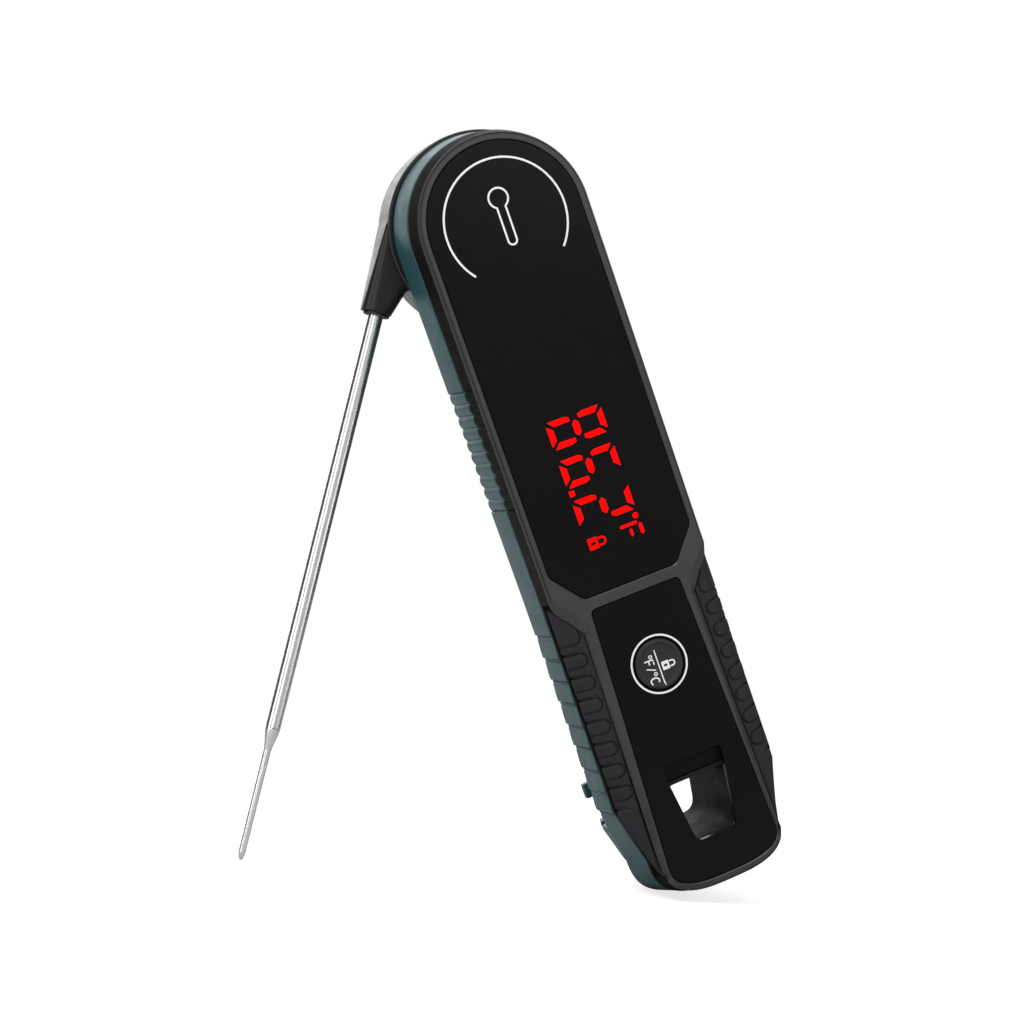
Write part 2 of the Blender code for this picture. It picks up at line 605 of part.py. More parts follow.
def make_probe(probe_frame, finishes):
    centre = (PROBE_X, PROBE_Y)
    tube = [
        (TUBE_BORE, -12.8),
        (TUBE_RADIUS, -12.8),
        (TUBE_RADIUS, NECK_Z),
        (TUBE_RADIUS - 0.12, NECK_Z - 0.6),
        (TUBE_BORE, NECK_Z - 0.6),
    ]
    lathe("probe_tube", tube, probe_frame, finishes["chrome"], centre, 28, bore=True, along_z=True)
    spigot, wall = TUBE_BORE - GAP, 0.3
    tip = [
        (0.1, NECK_Z + 2.0),
        (spigot, NECK_Z + 2.0),
        (spigot, NECK_Z - 0.9),
        (TUBE_RADIUS - 0.15, NECK_Z - 0.9),
        (THIN_RADIUS, THIN_Z),
        (THIN_RADIUS, TIP_Z + 1.6),
        (0.5, TIP_Z + 0.3),
        (0.2, TIP_Z),
    ]
    outer = lathe("probe_tip", tip, probe_frame, finishes["chrome"], centre, 24, along_z=True)
    bore = [(THIN_RADIUS - wall, TIP_Z + 2.4), (THIN_RADIUS - wall, NECK_Z + 4)]
    combine(outer, lathe("tip_bore_cut", bore, None, None, centre, 16, along_z=True))
    collar = [
        (TUBE_RADIUS + GAP, NOSE_END_Z - GAP),
        (2.7, NOSE_END_Z - GAP),
        (2.7, NOSE_END_Z - 0.7),
        (2.3, NOSE_END_Z - 1.0),
        (TUBE_RADIUS + GAP, NOSE_END_Z - 1.0),
    ]
    lathe("probe_collar", collar, probe_frame, finishes["chrome"], centre, 28, bore=True, along_z=True)
    bead = [(0.08, BEAD_Z + 0.2), (0.2, BEAD_Z), (0.2, BEAD_Z - 1.0), (0.08, BEAD_Z - 1.2)]
    lathe("sensor_bead", bead, probe_frame, finishes["glass"], centre, 12, along_z=True)
    make_lead(probe_frame, finishes)


def make_lead(probe_frame, finishes):
    """Sensor wires, from the board through the hollow axle and down the tube."""
    points = [
        (0, 9.5, 0),
        (0, 16.0, 0),
        (0, 21.0, -0.2),
        (-1.2, 22.0, -1.0),
        (-8.0, 22.0, -6.0),
        (-13.5, 21.9, -8.6),
        (-16.3, 21.7, -9.8),
        (-17.2, 21.7, -12.5),
        (PROBE_X, PROBE_Y, -20.0),
        (PROBE_X, PROBE_Y, BEAD_Z + 0.5),
    ]
    wire("sensor_lead", points, 0.17, probe_frame, finishes["wire"])


def make_finishes():
    return {
        "frame": material("dark_grey_plastic", (78, 78, 80), 0.45),
        "black": material("black_plastic", (30, 30, 32), 0.4),
        "gloss": material("gloss_black_panel", (18, 18, 20), 0.08),
        "rubber": material("soft_black_rubber", (47, 46, 50), 0.75),
        "teal": material("teal_plastic", (92, 122, 126), 0.5),
        "teal_dark": material("dark_teal_plastic", (20, 62, 66), 0.5),
        "hub": material("hub_grey_plastic", (70, 70, 72), 0.4),
        "button": material("button_rubber", (50, 50, 52), 0.6),
        "seal": material("black_seal_rubber", (25, 25, 26), 0.8),
        "chrome": material("polished_steel", (222, 222, 225), 0.12, 1.0),
        "steel": material("brushed_steel", (180, 180, 182), 0.3, 1.0),
        "plated": material("nickel_plate", (205, 200, 190), 0.25, 1.0),
        "cell": material("battery_wrap", (60, 62, 66), 0.4),
        "board": material("circuit_board_green", (20, 80, 45), 0.5),
        "display": material("display_white_plastic", (210, 208, 204), 0.5),
        "glass": material("sealed_glass", (150, 160, 150), 0.1),
        "wire": material("wire_jacket", (170, 40, 36), 0.5),
    }


def main():
    clear_scene()
    finishes = make_finishes()
    held_at = (ORIGIN_Z * math.sin(LEAN), -SPINE_BACK, -ORIGIN_Z * math.cos(LEAN))
    root = add_empty("body_frame", None, held_at, -LEAN)
    probe_frame = add_empty("probe_hinge_axis", root, turn=PROBE_OPEN)
    button_frame = add_empty("button_axis", root, (0, 0, BUTTON_Z))
    make_frame(root, finishes)
    make_panels(root, finishes)
    make_front_shell(root, finishes)
    make_grips(root, finishes)
    make_rear_shell(root, finishes)
    make_gasket(root, finishes)
    make_battery(root, finishes)
    make_electronics(root, finishes)
    make_button(button_frame, finishes)
    make_hanging_hole(root, finishes)
    make_probe_clip(root, finishes)
    make_magnets(root, finishes)
    make_screws(root, finishes)
    make_pivot(root, probe_frame, finishes)
    make_hub(probe_frame, finishes)
    make_probe(probe_frame, finishes)


main()
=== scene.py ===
"""Looks of the folding probe thermometer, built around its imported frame.

Pieces are drawn in millimetres in the body's own frame, as the solids they stand for are: x to the
right, y from the front face towards the back, z from the foot to the head, with the probe's hinge axis
through x = z = 0. BODY and PROBE carry that frame into the row frame.
"""

import json
import math

import bmesh
import bpy
from mathutils import Matrix, Vector


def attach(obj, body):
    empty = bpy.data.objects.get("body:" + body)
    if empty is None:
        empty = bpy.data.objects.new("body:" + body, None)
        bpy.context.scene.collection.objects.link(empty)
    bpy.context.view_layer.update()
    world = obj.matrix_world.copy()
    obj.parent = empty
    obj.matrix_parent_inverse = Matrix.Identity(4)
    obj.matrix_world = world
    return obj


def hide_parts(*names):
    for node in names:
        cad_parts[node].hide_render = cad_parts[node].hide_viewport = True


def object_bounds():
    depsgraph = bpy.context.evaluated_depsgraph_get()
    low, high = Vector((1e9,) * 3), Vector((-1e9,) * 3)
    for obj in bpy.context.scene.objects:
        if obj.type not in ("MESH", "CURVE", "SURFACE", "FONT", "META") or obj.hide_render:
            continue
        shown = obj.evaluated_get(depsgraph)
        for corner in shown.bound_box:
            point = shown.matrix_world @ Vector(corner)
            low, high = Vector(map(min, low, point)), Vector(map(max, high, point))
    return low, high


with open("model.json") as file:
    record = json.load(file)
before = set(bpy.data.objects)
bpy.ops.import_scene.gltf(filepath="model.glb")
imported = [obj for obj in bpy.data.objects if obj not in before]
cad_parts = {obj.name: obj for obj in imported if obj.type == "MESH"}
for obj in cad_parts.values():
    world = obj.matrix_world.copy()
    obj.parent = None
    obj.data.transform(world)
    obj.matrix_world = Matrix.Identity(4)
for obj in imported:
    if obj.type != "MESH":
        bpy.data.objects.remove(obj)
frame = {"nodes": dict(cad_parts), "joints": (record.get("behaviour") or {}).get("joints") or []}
CAD_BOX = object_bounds()

MM = 0.001
LEAN = math.radians(26.076)
GAP = 0.3

# Depths of the layers, front to back.
PANEL_FRONT = 0.15
PANEL_BACK = 1.35
FRAME_BACK = 1.4
RECESS_FLOOR = 1.7
FRONT_FLOOR = 3.0
GRIP_SEAT = 4.25
SEAM = 5.4
INNER_BACK = 13.6
FLANK_BACK = 14.4
LEDGE = 15.4
HUB_FRONT = 15.9
HUB_BACK = 26.6
SPINE_BACK = 26.8

# Body layers as (head radius, half width below the neck, half width of the foot, lowest z).
LIP_LAYER = (18.3, 17.95, 14.05, -145.7)
RIM_LAYER = (18.6, 18.2, 14.3, -146.0)
SEAM_LAYER = (19.45, 18.7, 15.3, -146.7)
BACK_LAYER = (20.3, 19.6, 17.15, -147.8)
FRAME_LAYER = (18.0, 17.7, 13.95, -145.6)
FACET_LAYER = (17.72, 17.42, 12.72, -144.65)
NECK_END_Z = -75.0
TAPER_Z = -124.0
FOOT_START_Z = -136.5
WALL = 2.6

# Front frame and its two panels.
WAIST_TOP_Z = -79.2
WAIST_HALF = 12.85
WAIST_BOTTOM_Z = -85.8
WAIST_ZONE = (-76.6, -86.6)
FACET_DROP = 2.3
FRONT_INSET = 0.28
WINDOW_HALF = 16.7
WINDOW_END_HALF = 16.35
WINDOW_SIDE_END_Z = -72.0
WINDOW_BOTTOM_HALF = 10.6
WINDOW_BOTTOM_Z = -78.8
LOWER_PANEL_TOP_Z = -81.6
LOWER_PANEL_TOP_HALF = 10.2
LOWER_PANEL_FOOT_HALF = 12.55
LOWER_PANEL_BOTTOM_Z = -144.1

# Button and hanging hole.
BUTTON_Z = -97.3
BUTTON_RADIUS = 5.3
HOLE_TOP_Z = -122.9
HOLE_BOTTOM_Z = -135.6
HOLE_TOP_HALF = 6.9
HOLE_BOTTOM_HALF = 4.7
PANEL_HOLE_TOP_Z = -118.0
PANEL_HOLE_TOP_HALF = 7.05
LINER_WALL = 1.1

# Back of the case.
SPINE_HALF = 10.7
SPINE_TOP_Z = -24.5
FOOT_BLOCK_Z = -129.4
FOOT_BLOCK_MIDDLE_Z = -137.0
TIP_SLOT_END_Z = -142.4
CELL_BAY_HALF = 6.2
CELL_BAY = (-92.45, -42.55)
COVER_HALF = 8.4
COVER_TOP_Z = -36.5
COVER_BOTTOM_Z = -97.5
COVER_SCREW_Z = -95.3
COVER_SCREW_WAY = 1.65
RIDGE_TOP_Z = -41.5
RIDGE_PITCH = 1.7
MAGNET_RADIUS = 4.0
MAGNET_SPOTS = (-31.0, -110.5)
SCREW_SPOTS = [(side * 13.6, z) for z in (-34.0, -114.0) for side in (-1, 1)]
CATCH_Z = -123.6
CATCH_LENGTH = 3.3

# Probe and hub, drawn folded along the body.
HUB_RADIUS = 21.1
PROBE_X = -17.3
PROBE_Y = 21.7
NOSE_START_Z = -1.3
NOSE_END_Z = -22.8
NOSE_LEFT = -20.75
TUBE_RADIUS = 1.6
NECK_Z = -112.0
THIN_Z = -117.5
THIN_RADIUS = 0.78
TIP_Z = -140.7
AXLE_RADIUS = 4.5

# Ribs, grooves and grips.
RIB_TOP_Z = -30.05
RIB_PITCH = 2.64
RIB_COUNT = 10
RIB_END_Z = RIB_TOP_Z - RIB_PITCH * RIB_COUNT - 0.3
RIB_DEPTH = 0.66
SHINGLE_PITCH = 5.02
SHINGLE_COUNT = 9
SHINGLE_TOP_Z = -84.5
GRIP_TOP_Z = -81.9
GRIP_PITCH = 4.95
GRIP_NOTCHES = 8
GRIP_OUTER = 18.3
GRIP_GAP = 0.16
GRIP_END_Z = -139.3
GRIP_TAPER_Z = -126.0
GRIP_ZONE_END_Z = -125.5
TONGUE_TOP_Z = -85.65
TONGUE_COUNT = 8

# Prints: a figure of the reading is FIGURE_HALF wide and FIGURE_UP high to either side of its middle.
PRINT_LEVEL = PANEL_FRONT - 0.025
PRINT_THICKNESS = 0.05
FIGURE_HALF = 3.0
FIGURE_UP = 6.35
BAR_WIDTH = 1.3
DIGIT_SEGMENTS = {"8": "abcdefg", "6": "acdefg", "2": "abdeg"}
FIGURES = (("8", -44.75), ("6", -53.15), ("2", -61.9))
READING_X = -0.12
BUTTON_PRINT_Z = -98.05
BUTTON_PRINT_WIDTH = 0.3
UNIT_LOW = -3.0
UNIT_HIGH = -1.05

# Soft lights as (name, place, width, height, power), all aimed at the middle of the body.
SOFTBOXES = (
    ("key_left", (-0.55, -0.1, 0.85), 0.5, 0.5, 7.0),
    ("edge_left", (-1.0, -0.26, 0.0), 0.3, 0.7, 1.8),
    ("strip_front", (-0.6, -0.97, 0.06), 0.55, 1.0, 2.3),
    ("strip_right", (0.92, -0.77, 0.03), 0.5, 0.9, 1.7),
    ("front_fill", (0.42, -1.25, 0.6), 0.9, 0.55, 2.8),
    ("top", (0.1, 0.1, 1.2), 1.2, 1.2, 5.5),
    ("back_fill", (0.25, 1.2, 0.55), 1.0, 0.8, 5.0),
    ("back_left", (-0.32, 1.15, 0.26), 0.6, 0.6, 1.9),
    ("back_low", (-0.22, 1.15, -0.22), 0.5, 0.3, 0.5),
)
BODY_MIDDLE = (-0.03, 0.0, 0.03)
FLOOR_GLOW = 0.72

# Where the camera stands and what it looks at, in metres, and how far it is turned about its view.
CAMERA_PLACE = (-0.16923, -0.48859, 0.02603)
CAMERA_TARGET = (-0.04018, -0.0367, 0.03242)
CAMERA_ROLL = math.radians(5.846)
CAMERA_LENS = 82.3


def joint(name):
    return next(entry for entry in frame["joints"] if entry["name"] == name)


HINGE = joint("probe_fold")["pos_m"]
PROBE_OPEN = math.radians(-joint("probe_fold")["range_deg"][0])
BODY = Matrix.Translation((HINGE[0], -SPINE_BACK * MM, HINGE[2])) @ Matrix.Rotation(-LEAN, 4, "Y")
PROBE = BODY @ Matrix.Rotation(PROBE_OPEN, 4, "Y")


# ---- materials


def srgb(*levels):
    """Linear colour from 8-bit display levels."""
    return tuple(
        level / 255 / 12.92 if level <= 10 else ((level / 255 + 0.055) / 1.055) ** 2.4
        for level in levels
    )


def set_range(node, *ends):
    """Sets a map-range node: from low, from high, to low and to high."""
    for key, value in zip(("From Min", "From Max", "To Min", "To Max"), ends):
        node.inputs[key].default_value = value


class Nodes:
    """Short calls for building one material's node tree."""

    def __init__(self, name):
        self.material = bpy.data.materials.new(name)
        self.material.use_nodes = True
        self.tree = self.material.node_tree
        self.shader = self.tree.nodes["Principled BSDF"]
        self.place = self.add("ShaderNodeTexCoord").outputs["Object"]

    def add(self, kind, **settings):
        node = self.tree.nodes.new(kind)
        for key, value in settings.items():
            setattr(node, key, value)
        return node

    def link(self, source, target):
        self.tree.links.new(source, target)

    def noise(self, scale, detail, roughness=0.55, stretch=(1, 1, 1)):
        mapping = self.add("ShaderNodeMapping")
        mapping.inputs["Scale"].default_value = stretch
        self.link(self.place, mapping.inputs["Vector"])
        node = self.add("ShaderNodeTexNoise")
        node.inputs["Scale"].default_value = scale
        node.inputs["Detail"].default_value = detail
        node.inputs["Roughness"].default_value = roughness
        self.link(mapping.outputs["Vector"], node.inputs["Vector"])
        return node.outputs["Fac"]

    def spread(self, source, low, high):
        """Maps the middle of a noise to the range from low to high."""
        node = self.add("ShaderNodeMapRange")
        set_range(node, 0.3, 0.7, low, high)
        self.link(source, node.inputs["Value"])
        return node.outputs["Result"]

    def vary_roughness(self, source, low, high):
        self.link(self.spread(source, low, high), self.shader.inputs["Roughness"])

    def tint(self, source, dark, light):
        ramp = self.add("ShaderNodeValToRGB")
        for stop, position, colour in zip(ramp.color_ramp.elements, (0.3, 0.7), (dark, light)):
            stop.position = position
            stop.color = (*colour, 1)
        self.link(source, ramp.inputs["Fac"])
        self.link(ramp.outputs["Color"], self.shader.inputs["Base Color"])

    def fix(self, name, value):
        """Sets a constant on the shader's socket."""
        self.shader.inputs[name].default_value = value

    def bump(self, source, depth):
        node = self.add("ShaderNodeBump")
        node.inputs["Distance"].default_value = depth
        self.link(source, node.inputs["Height"])
        self.link(node.outputs["Normal"], self.shader.inputs["Normal"])


def shaded(colour, amount):
    return tuple(channel * amount for channel in colour)


def moulded(name, colour, roughness, grain=0.000018, scale=5200, specular=0.5, ior=1.5):
    """Moulded plastic or rubber: fine spark-eroded grain, faint flow tint and handling sheen."""
    nodes = Nodes(name)
    nodes.tint(nodes.noise(95, 4), shaded(colour, 0.88), shaded(colour, 1.12))
    nodes.vary_roughness(nodes.noise(260, 5), roughness - 0.05, roughness + 0.06)
    nodes.bump(nodes.noise(scale, 2), grain)
    nodes.fix("Specular IOR Level", specular)
    nodes.fix("IOR", ior)
    return nodes.material


def polished_steel(name, colour, roughness, stretch, grain=0.000002):
    """Drawn or turned steel with fine lines along one way."""
    nodes = Nodes(name)
    lines = nodes.noise(3000, 3, stretch=stretch)
    nodes.tint(nodes.noise(140, 3), shaded(colour, 0.94), colour)
    nodes.vary_roughness(lines, roughness * 0.8, roughness * 1.3)
    nodes.bump(lines, grain)
    nodes.fix("Metallic", 1.0)
    return nodes.material


def glossy_panel(name, colour):
    """Tinted hard-coated window: almost clean, with faint wiping marks in its gloss."""
    nodes = Nodes(name)
    nodes.tint(nodes.noise(40, 3), shaded(colour, 0.85), shaded(colour, 1.15))
    nodes.vary_roughness(nodes.noise(180, 5, 0.6, (1, 1, 5)), 0.17, 0.24)
    nodes.bump(nodes.noise(60, 2), 0.000008)
    nodes.fix("Specular IOR Level", 0.12)
    return nodes.material


def printed(name, colour):
    """Screen-printed ink, very slightly uneven."""
    nodes = Nodes(name)
    nodes.tint(nodes.noise(900, 3), shaded(colour, 0.94), colour)
    nodes.vary_roughness(nodes.noise(2400, 2), 0.4, 0.55)
    nodes.bump(nodes.noise(6000, 2), 0.000004)
    return nodes.material


def lit_segment(name, colour, strength):
    """Lit display segment with a little unevenness across its light guide."""
    nodes = Nodes(name)
    nodes.tint(nodes.noise(500, 2), shaded(colour, 0.5), shaded(colour, 0.6))
    nodes.fix("Emission Color", (*colour, 1))
    glow = nodes.spread(nodes.noise(320, 2), strength * 0.92, strength)
    nodes.link(glow, nodes.shader.inputs["Emission Strength"])
    nodes.fix("Roughness", 0.4)
    nodes.fix("Specular IOR Level", 0.05)
    return nodes.material


FINISHES = {
    "frame": moulded("satin_dark_grey", srgb(55, 55, 56), 0.32, specular=0.4),
    "liner": moulded("satin_liner_grey", srgb(32, 32, 33), 0.6, specular=0.1),
    "black": moulded("satin_black", srgb(19, 18, 20), 0.5, specular=0.4, ior=1.14),
    "panel": glossy_panel("gloss_black_window", srgb(11, 11, 13)),
    "rubber": moulded("soft_black_rubber", srgb(38, 37, 41), 0.7, 0.00003, 3600, 0.25),
    "teal": moulded("satin_teal", srgb(32, 75, 80), 0.38),
    "hub": moulded("satin_hub_grey", srgb(27, 27, 28), 0.34, ior=1.4),
    "button": moulded("button_rubber", srgb(38, 38, 40), 0.55, 0.00002, 4200, 0.3),
    "seal": moulded("seal_rubber", srgb(24, 24, 25), 0.75, 0.00003, 3000, 0.2),
    "steel_probe": polished_steel("polished_probe_steel", (0.74, 0.73, 0.73), 0.25, (1, 1, 0.03)),
    "steel": polished_steel("turned_steel", (0.52, 0.52, 0.53), 0.26, (1, 1, 1), 0.000006),
    "nickel": polished_steel("nickel_plate", (0.66, 0.63, 0.58), 0.2, (1, 0.2, 1), 0.000004),
    "cell": moulded("battery_wrap", srgb(58, 60, 64), 0.3, 0.000006),
    "board": moulded("board_green", srgb(18, 74, 42), 0.45),
    "display": moulded("display_white", srgb(208, 206, 202), 0.5),
    "glass": moulded("sealed_glass", srgb(150, 160, 150), 0.12, 0.000002),
    "wire": moulded("wire_jacket", srgb(160, 38, 34), 0.45),
    "white_ink": printed("white_print", (0.93, 0.93, 0.93)),
    "lit": lit_segment("lit_red_segment", (1.0, 0.0, 0.0), 1.0),
}


# ---- mesh helpers


def arc(centre_x, centre_z, radius, start, end, steps):
    """Points of an arc from start to end, in degrees from +x towards +z."""
    angles = [math.radians(start + (end - start) * i / steps) for i in range(steps + 1)]
    return [(centre_x + radius * math.cos(a), centre_z + radius * math.sin(a)) for a in angles]


def circle(centre_x, centre_z, radius, steps=64):
    return arc(centre_x, centre_z, radius, 0, 360, steps)[:-1]


def at_depth(outline, y):
    return [(x, y, z) for x, z in outline]


def smooth_step(value, low, high):
    share = min(max((value - low) / (high - low), 0.0), 1.0)
    return share * share * (3 - 2 * share)


def skin(rings, closed=False):
    """Quads through rings of points, capped unless the last ring joins the first."""
    bm = bmesh.new()
    loops = [[bm.verts.new(point) for point in ring] for ring in rings]
    pairs = list(zip(loops, loops[1:]))
    if closed:
        pairs.append((loops[-1], loops[0]))
    for first, second in pairs:
        for i in range(len(first)):
            j = (i + 1) % len(first)
            bm.faces.new((first[i], first[j], second[j], second[i]))
    if not closed:
        bm.faces.new(loops[0])
        bm.faces.new(loops[-1])
    bmesh.ops.recalc_face_normals(bm, faces=bm.faces)
    return bm


def add_object(name, data):
    obj = bpy.data.objects.new(name, data)
    bpy.context.scene.collection.objects.link(obj)
    return obj


def to_object(name, bm):
    mesh = bpy.data.meshes.new(name)
    bm.to_mesh(mesh)
    bm.free()
    return add_object(name, mesh)


def shape(name, rings, closed=False):
    return to_object(name, skin(rings, closed))


def fillet(radius, steps=4):
    """(inset, depth) pairs of a rounded edge, from the face to the side."""
    angles = [math.pi / 2 * i / steps for i in range(steps + 1)]
    return [(radius * (1 - math.sin(a)), radius * (1 - math.cos(a))) for a in angles]


def slab(name, outline, front, back, round_front=0.3, round_back=0.0):
    """A plate from an outline function of its inset, with rounded front and back edges."""
    rings = [at_depth(outline(inset), front + depth) for inset, depth in fillet(round_front)]
    if round_back:
        rings += [at_depth(outline(inset), back - depth) for inset, depth in reversed(fillet(round_back))]
    else:
        rings.append(at_depth(outline(0), back))
    return shape(name, rings)


def prism(name, outline, front, back):
    return shape(name, [at_depth(outline, front), at_depth(outline, back)])


def turned(name, profile, centre=(0, 0), steps=64, bore=False, along_z=False):
    """A turned solid from (radius, distance along the axis) pairs."""
    rings = []
    for radius, distance in profile:
        ring = circle(0, 0, radius, steps)
        if along_z:
            rings.append([(centre[0] + u, centre[1] + v, distance) for u, v in ring])
        else:
            rings.append([(centre[0] + u, distance, centre[1] + v) for u, v in ring])
    return shape(name, rings, closed=bore)


def rectangle(x1, z1, x2, z2):
    """Corners of a rectangle, given two opposite ones."""
    return [(x1, z1), (x2, z1), (x2, z2), (x1, z2)]


def rounded(corners, radius, steps=6):
    """A polygon with each corner turned into a short curve of steps + 1 points."""
    points = []
    for i, corner in enumerate(corners):
        here = Vector(corner)
        before = (Vector(corners[i - 1]) - here).normalized()
        after = (Vector(corners[(i + 1) % len(corners)]) - here).normalized()
        reach = radius / math.tan(before.angle(after) / 2)
        start = here + before * reach
        end = here + after * reach
        for step in range(steps + 1):
            t = step / steps
            points.append(tuple(start * (1 - t) ** 2 + here * 2 * t * (1 - t) + end * t**2))
    return points


def apply_modifiers(obj):
    bpy.context.view_layer.update()
    graph = bpy.context.evaluated_depsgraph_get()
    mesh = bpy.data.meshes.new_from_object(obj.evaluated_get(graph))
    obj.modifiers.clear()
    obj.data = mesh


def combine(obj, *tools, operation="DIFFERENCE"):
    """Cuts the tools out of the object, or joins them to it, and removes them."""
    for tool in tools:
        change = obj.modifiers.new(tool.name, "BOOLEAN")
        change.operation = operation
        change.solver = "EXACT"
        change.object = tool
    apply_modifiers(obj)
    for tool in tools:
        bpy.data.objects.remove(tool, do_unlink=True)


def dress(obj, finish, sharp=32):
    """Gives a piece its material, and smooth shading between edges sharper than this angle."""
    obj.data.materials.clear()
    obj.data.materials.append(FINISHES[finish])
    obj.data.shade_smooth()
    obj.data.set_sharp_from_angle(angle=math.radians(sharp))


def finish_piece(obj, finish, body, replaces=(), sharp=32):
    """Puts a piece drawn in millimetres in its place, dresses it and ties it to its body."""
    place = PROBE if body == "probe" else BODY
    obj.data.transform(place @ Matrix.Scale(MM, 4))
    dress(obj, finish, sharp)
    weighted = obj.modifiers.new("weighted_normals", "WEIGHTED_NORMAL")
    weighted.keep_sharp = True
    if replaces:
        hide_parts(*replaces)
    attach(obj, body)


# ---- outlines


def foot_curve(half, bottom, fullness=2.95, start=FOOT_START_Z):
    """The rounded lower end of an outline, from its left side to its right side."""
    steps = 40
    points = []
    for i in range(steps + 1):
        turn = math.pi * i / steps
        across, down = math.cos(turn), math.sin(turn)
        x = -half * math.copysign(abs(across) ** (2 / fullness), across)
        points.append((x, start - (start - bottom) * abs(down) ** (2 / fullness)))
    return points


def side_half(layer, z):
    """Half width of a body layer at a height between the head's centre and the foot."""
    head, low, foot, _ = layer
    if z >= NECK_END_Z:
        return head + (low - head) * z / NECK_END_Z
    return low + (foot - low) * max(TAPER_Z - z, 0) / (TAPER_Z - FOOT_START_Z)


def frame_half(z):
    """Half width of the front frame, which steps in at the waist."""
    if z >= WAIST_TOP_Z:
        return FRAME_LAYER[0] + (FRAME_LAYER[1] - FRAME_LAYER[0]) * z / WAIST_TOP_Z
    if z >= WAIST_BOTTOM_Z:
        share = (WAIST_TOP_Z - z) / (WAIST_TOP_Z - WAIST_BOTTOM_Z)
        return FRAME_LAYER[1] + (WAIST_HALF - FRAME_LAYER[1]) * share
    share = min((WAIST_BOTTOM_Z - z) / (WAIST_BOTTOM_Z - FOOT_START_Z), 1)
    return WAIST_HALF + share * (FRAME_LAYER[2] - WAIST_HALF)


def spaced(start, end, step):
    """Heights from start down to end, about a step apart and without the end itself."""
    count = max(round((start - end) / step), 1)
    return [start + (end - start) * i / count for i in range(count)]


# Heights at which the sides are drawn, closer along the ribs, the waist and the grips.
SIDE_ZS = (
    spaced(-2.0, RIB_TOP_Z + 0.3, 3.0)
    + spaced(RIB_TOP_Z + 0.3, RIB_END_Z, RIB_PITCH / 12)
    + spaced(RIB_END_Z, WAIST_ZONE[0], 3.0)
    + spaced(*WAIST_ZONE, 0.25)
    + spaced(WAIST_ZONE[1], GRIP_ZONE_END_Z, 0.16)
    + spaced(GRIP_ZONE_END_Z, FOOT_START_Z, 0.5)
)


def outline(half_at, layer, inset):
    """A layer's round head, sides that follow half_at(z), and the rounded foot."""
    head, _, foot, bottom = layer
    left = [(inset - half_at(z), z) for z in SIDE_ZS]
    foot_end = foot_curve(foot - inset, bottom + inset)
    right = [(-x, z) for x, z in reversed(left)]
    return arc(0, 0, head - inset, 0, 180, 72) + left + foot_end + right


def body_outline(layer, inset=0.0, relief=None):
    """Outline of a body layer, its sides cut in by relief(z)."""

    def half_at(z):
        return side_half(layer, z) - (relief(z) if relief else 0.0)

    return outline(half_at, layer, inset)


def frame_outline(grow=0.0):
    return outline(frame_half, FRAME_LAYER, -grow)


def window_outline(grow=0.0):
    """Round head, straight sides and a bottom with cut corners."""
    end_half = WINDOW_END_HALF + grow
    bottom = WINDOW_BOTTOM_Z - grow
    corners = [(-end_half, -60), (-end_half, WINDOW_SIDE_END_Z)]
    corners += [(-WINDOW_BOTTOM_HALF - grow * 0.6, bottom), (0, bottom)]
    left = rounded(corners, 2.4)[7:21]
    return arc(0, 0, WINDOW_HALF + grow, 0, 180, 72) + left + [(-x, z) for x, z in reversed(left)]


def lower_panel_outline(grow=0.0):
    top, high = LOWER_PANEL_TOP_HALF + grow, LOWER_PANEL_TOP_Z + grow
    left_top = rounded(rectangle(0, high, -top, high - 10), 1.4)[7:14]
    foot_half, low = LOWER_PANEL_FOOT_HALF + grow, LOWER_PANEL_BOTTOM_Z - grow
    foot_end = foot_curve(foot_half, low, 2.9, start=FOOT_START_Z - 2.0)
    return left_top + foot_end + [(-x, z) for x, z in reversed(left_top)]


def tapered_hole(top_half, top_z, grow, corner):
    """An opening that ends like the hanging hole and is wider at its top."""
    top, bottom = top_half + grow, HOLE_BOTTOM_HALF + grow
    high, low = top_z + grow, HOLE_BOTTOM_Z - grow
    return rounded([(top, high), (-top, high), (-bottom, low), (bottom, low)], corner)


def hole_outline(grow=0.0, corner=1.3):
    return tapered_hole(HOLE_TOP_HALF, HOLE_TOP_Z, grow, corner + grow * 0.5)


def panel_hole_outline(grow=0.0):
    """The opening in the lower panel, which starts above the hanging hole."""
    return tapered_hole(PANEL_HOLE_TOP_HALF, PANEL_HOLE_TOP_Z, grow, 1.3)


def cover_outline(inset=0.0):
    half, low, high = COVER_HALF - inset, COVER_BOTTOM_Z + inset, COVER_TOP_Z - inset
    return rounded([(half, low), (half, high), (-half, high), (-half, low)], 2.0)


# ---- relief


def rib_relief(z):
    """Round ribs with narrow valleys between them."""
    along = (RIB_TOP_Z - z) / RIB_PITCH
    if not 0 <= along <= RIB_COUNT:
        return 0.0
    across = 2 * (along % 1.0) - 1
    return RIB_DEPTH * (1 - math.sqrt(1 - 0.985 * across * across))


def shingle_relief(z):
    """Overlapping steps with a pair of fine lines at each one."""
    along = (SHINGLE_TOP_Z - z) / SHINGLE_PITCH
    if not 0 <= along <= SHINGLE_COUNT - 0.2:
        return 0.0
    from_line = (along % 1.0) * SHINGLE_PITCH
    slope = 0.27 * max(1 - from_line / 3.6, 0)
    lines = sum(0.24 * math.exp(-(((from_line - at) / 0.14) ** 2)) for at in (0.16, 0.74))
    return slope + lines


def grip_notch(z):
    """Depth of the sawtooth notches along the outer edge of a grip."""
    along = (GRIP_TOP_Z - 2.6 - z) / GRIP_PITCH
    if not 0 <= along < GRIP_NOTCHES:
        return 0.0
    share = along % 1.0
    return 0.06 * share + 0.5 * smooth_step(share, 0.80, 0.9) * (1 - smooth_step(share, 0.95, 1.0))


# ---- case


def in_grip_zone(z):
    return WAIST_TOP_Z + FACET_DROP * 0.8 > z > GRIP_END_Z - 0.2


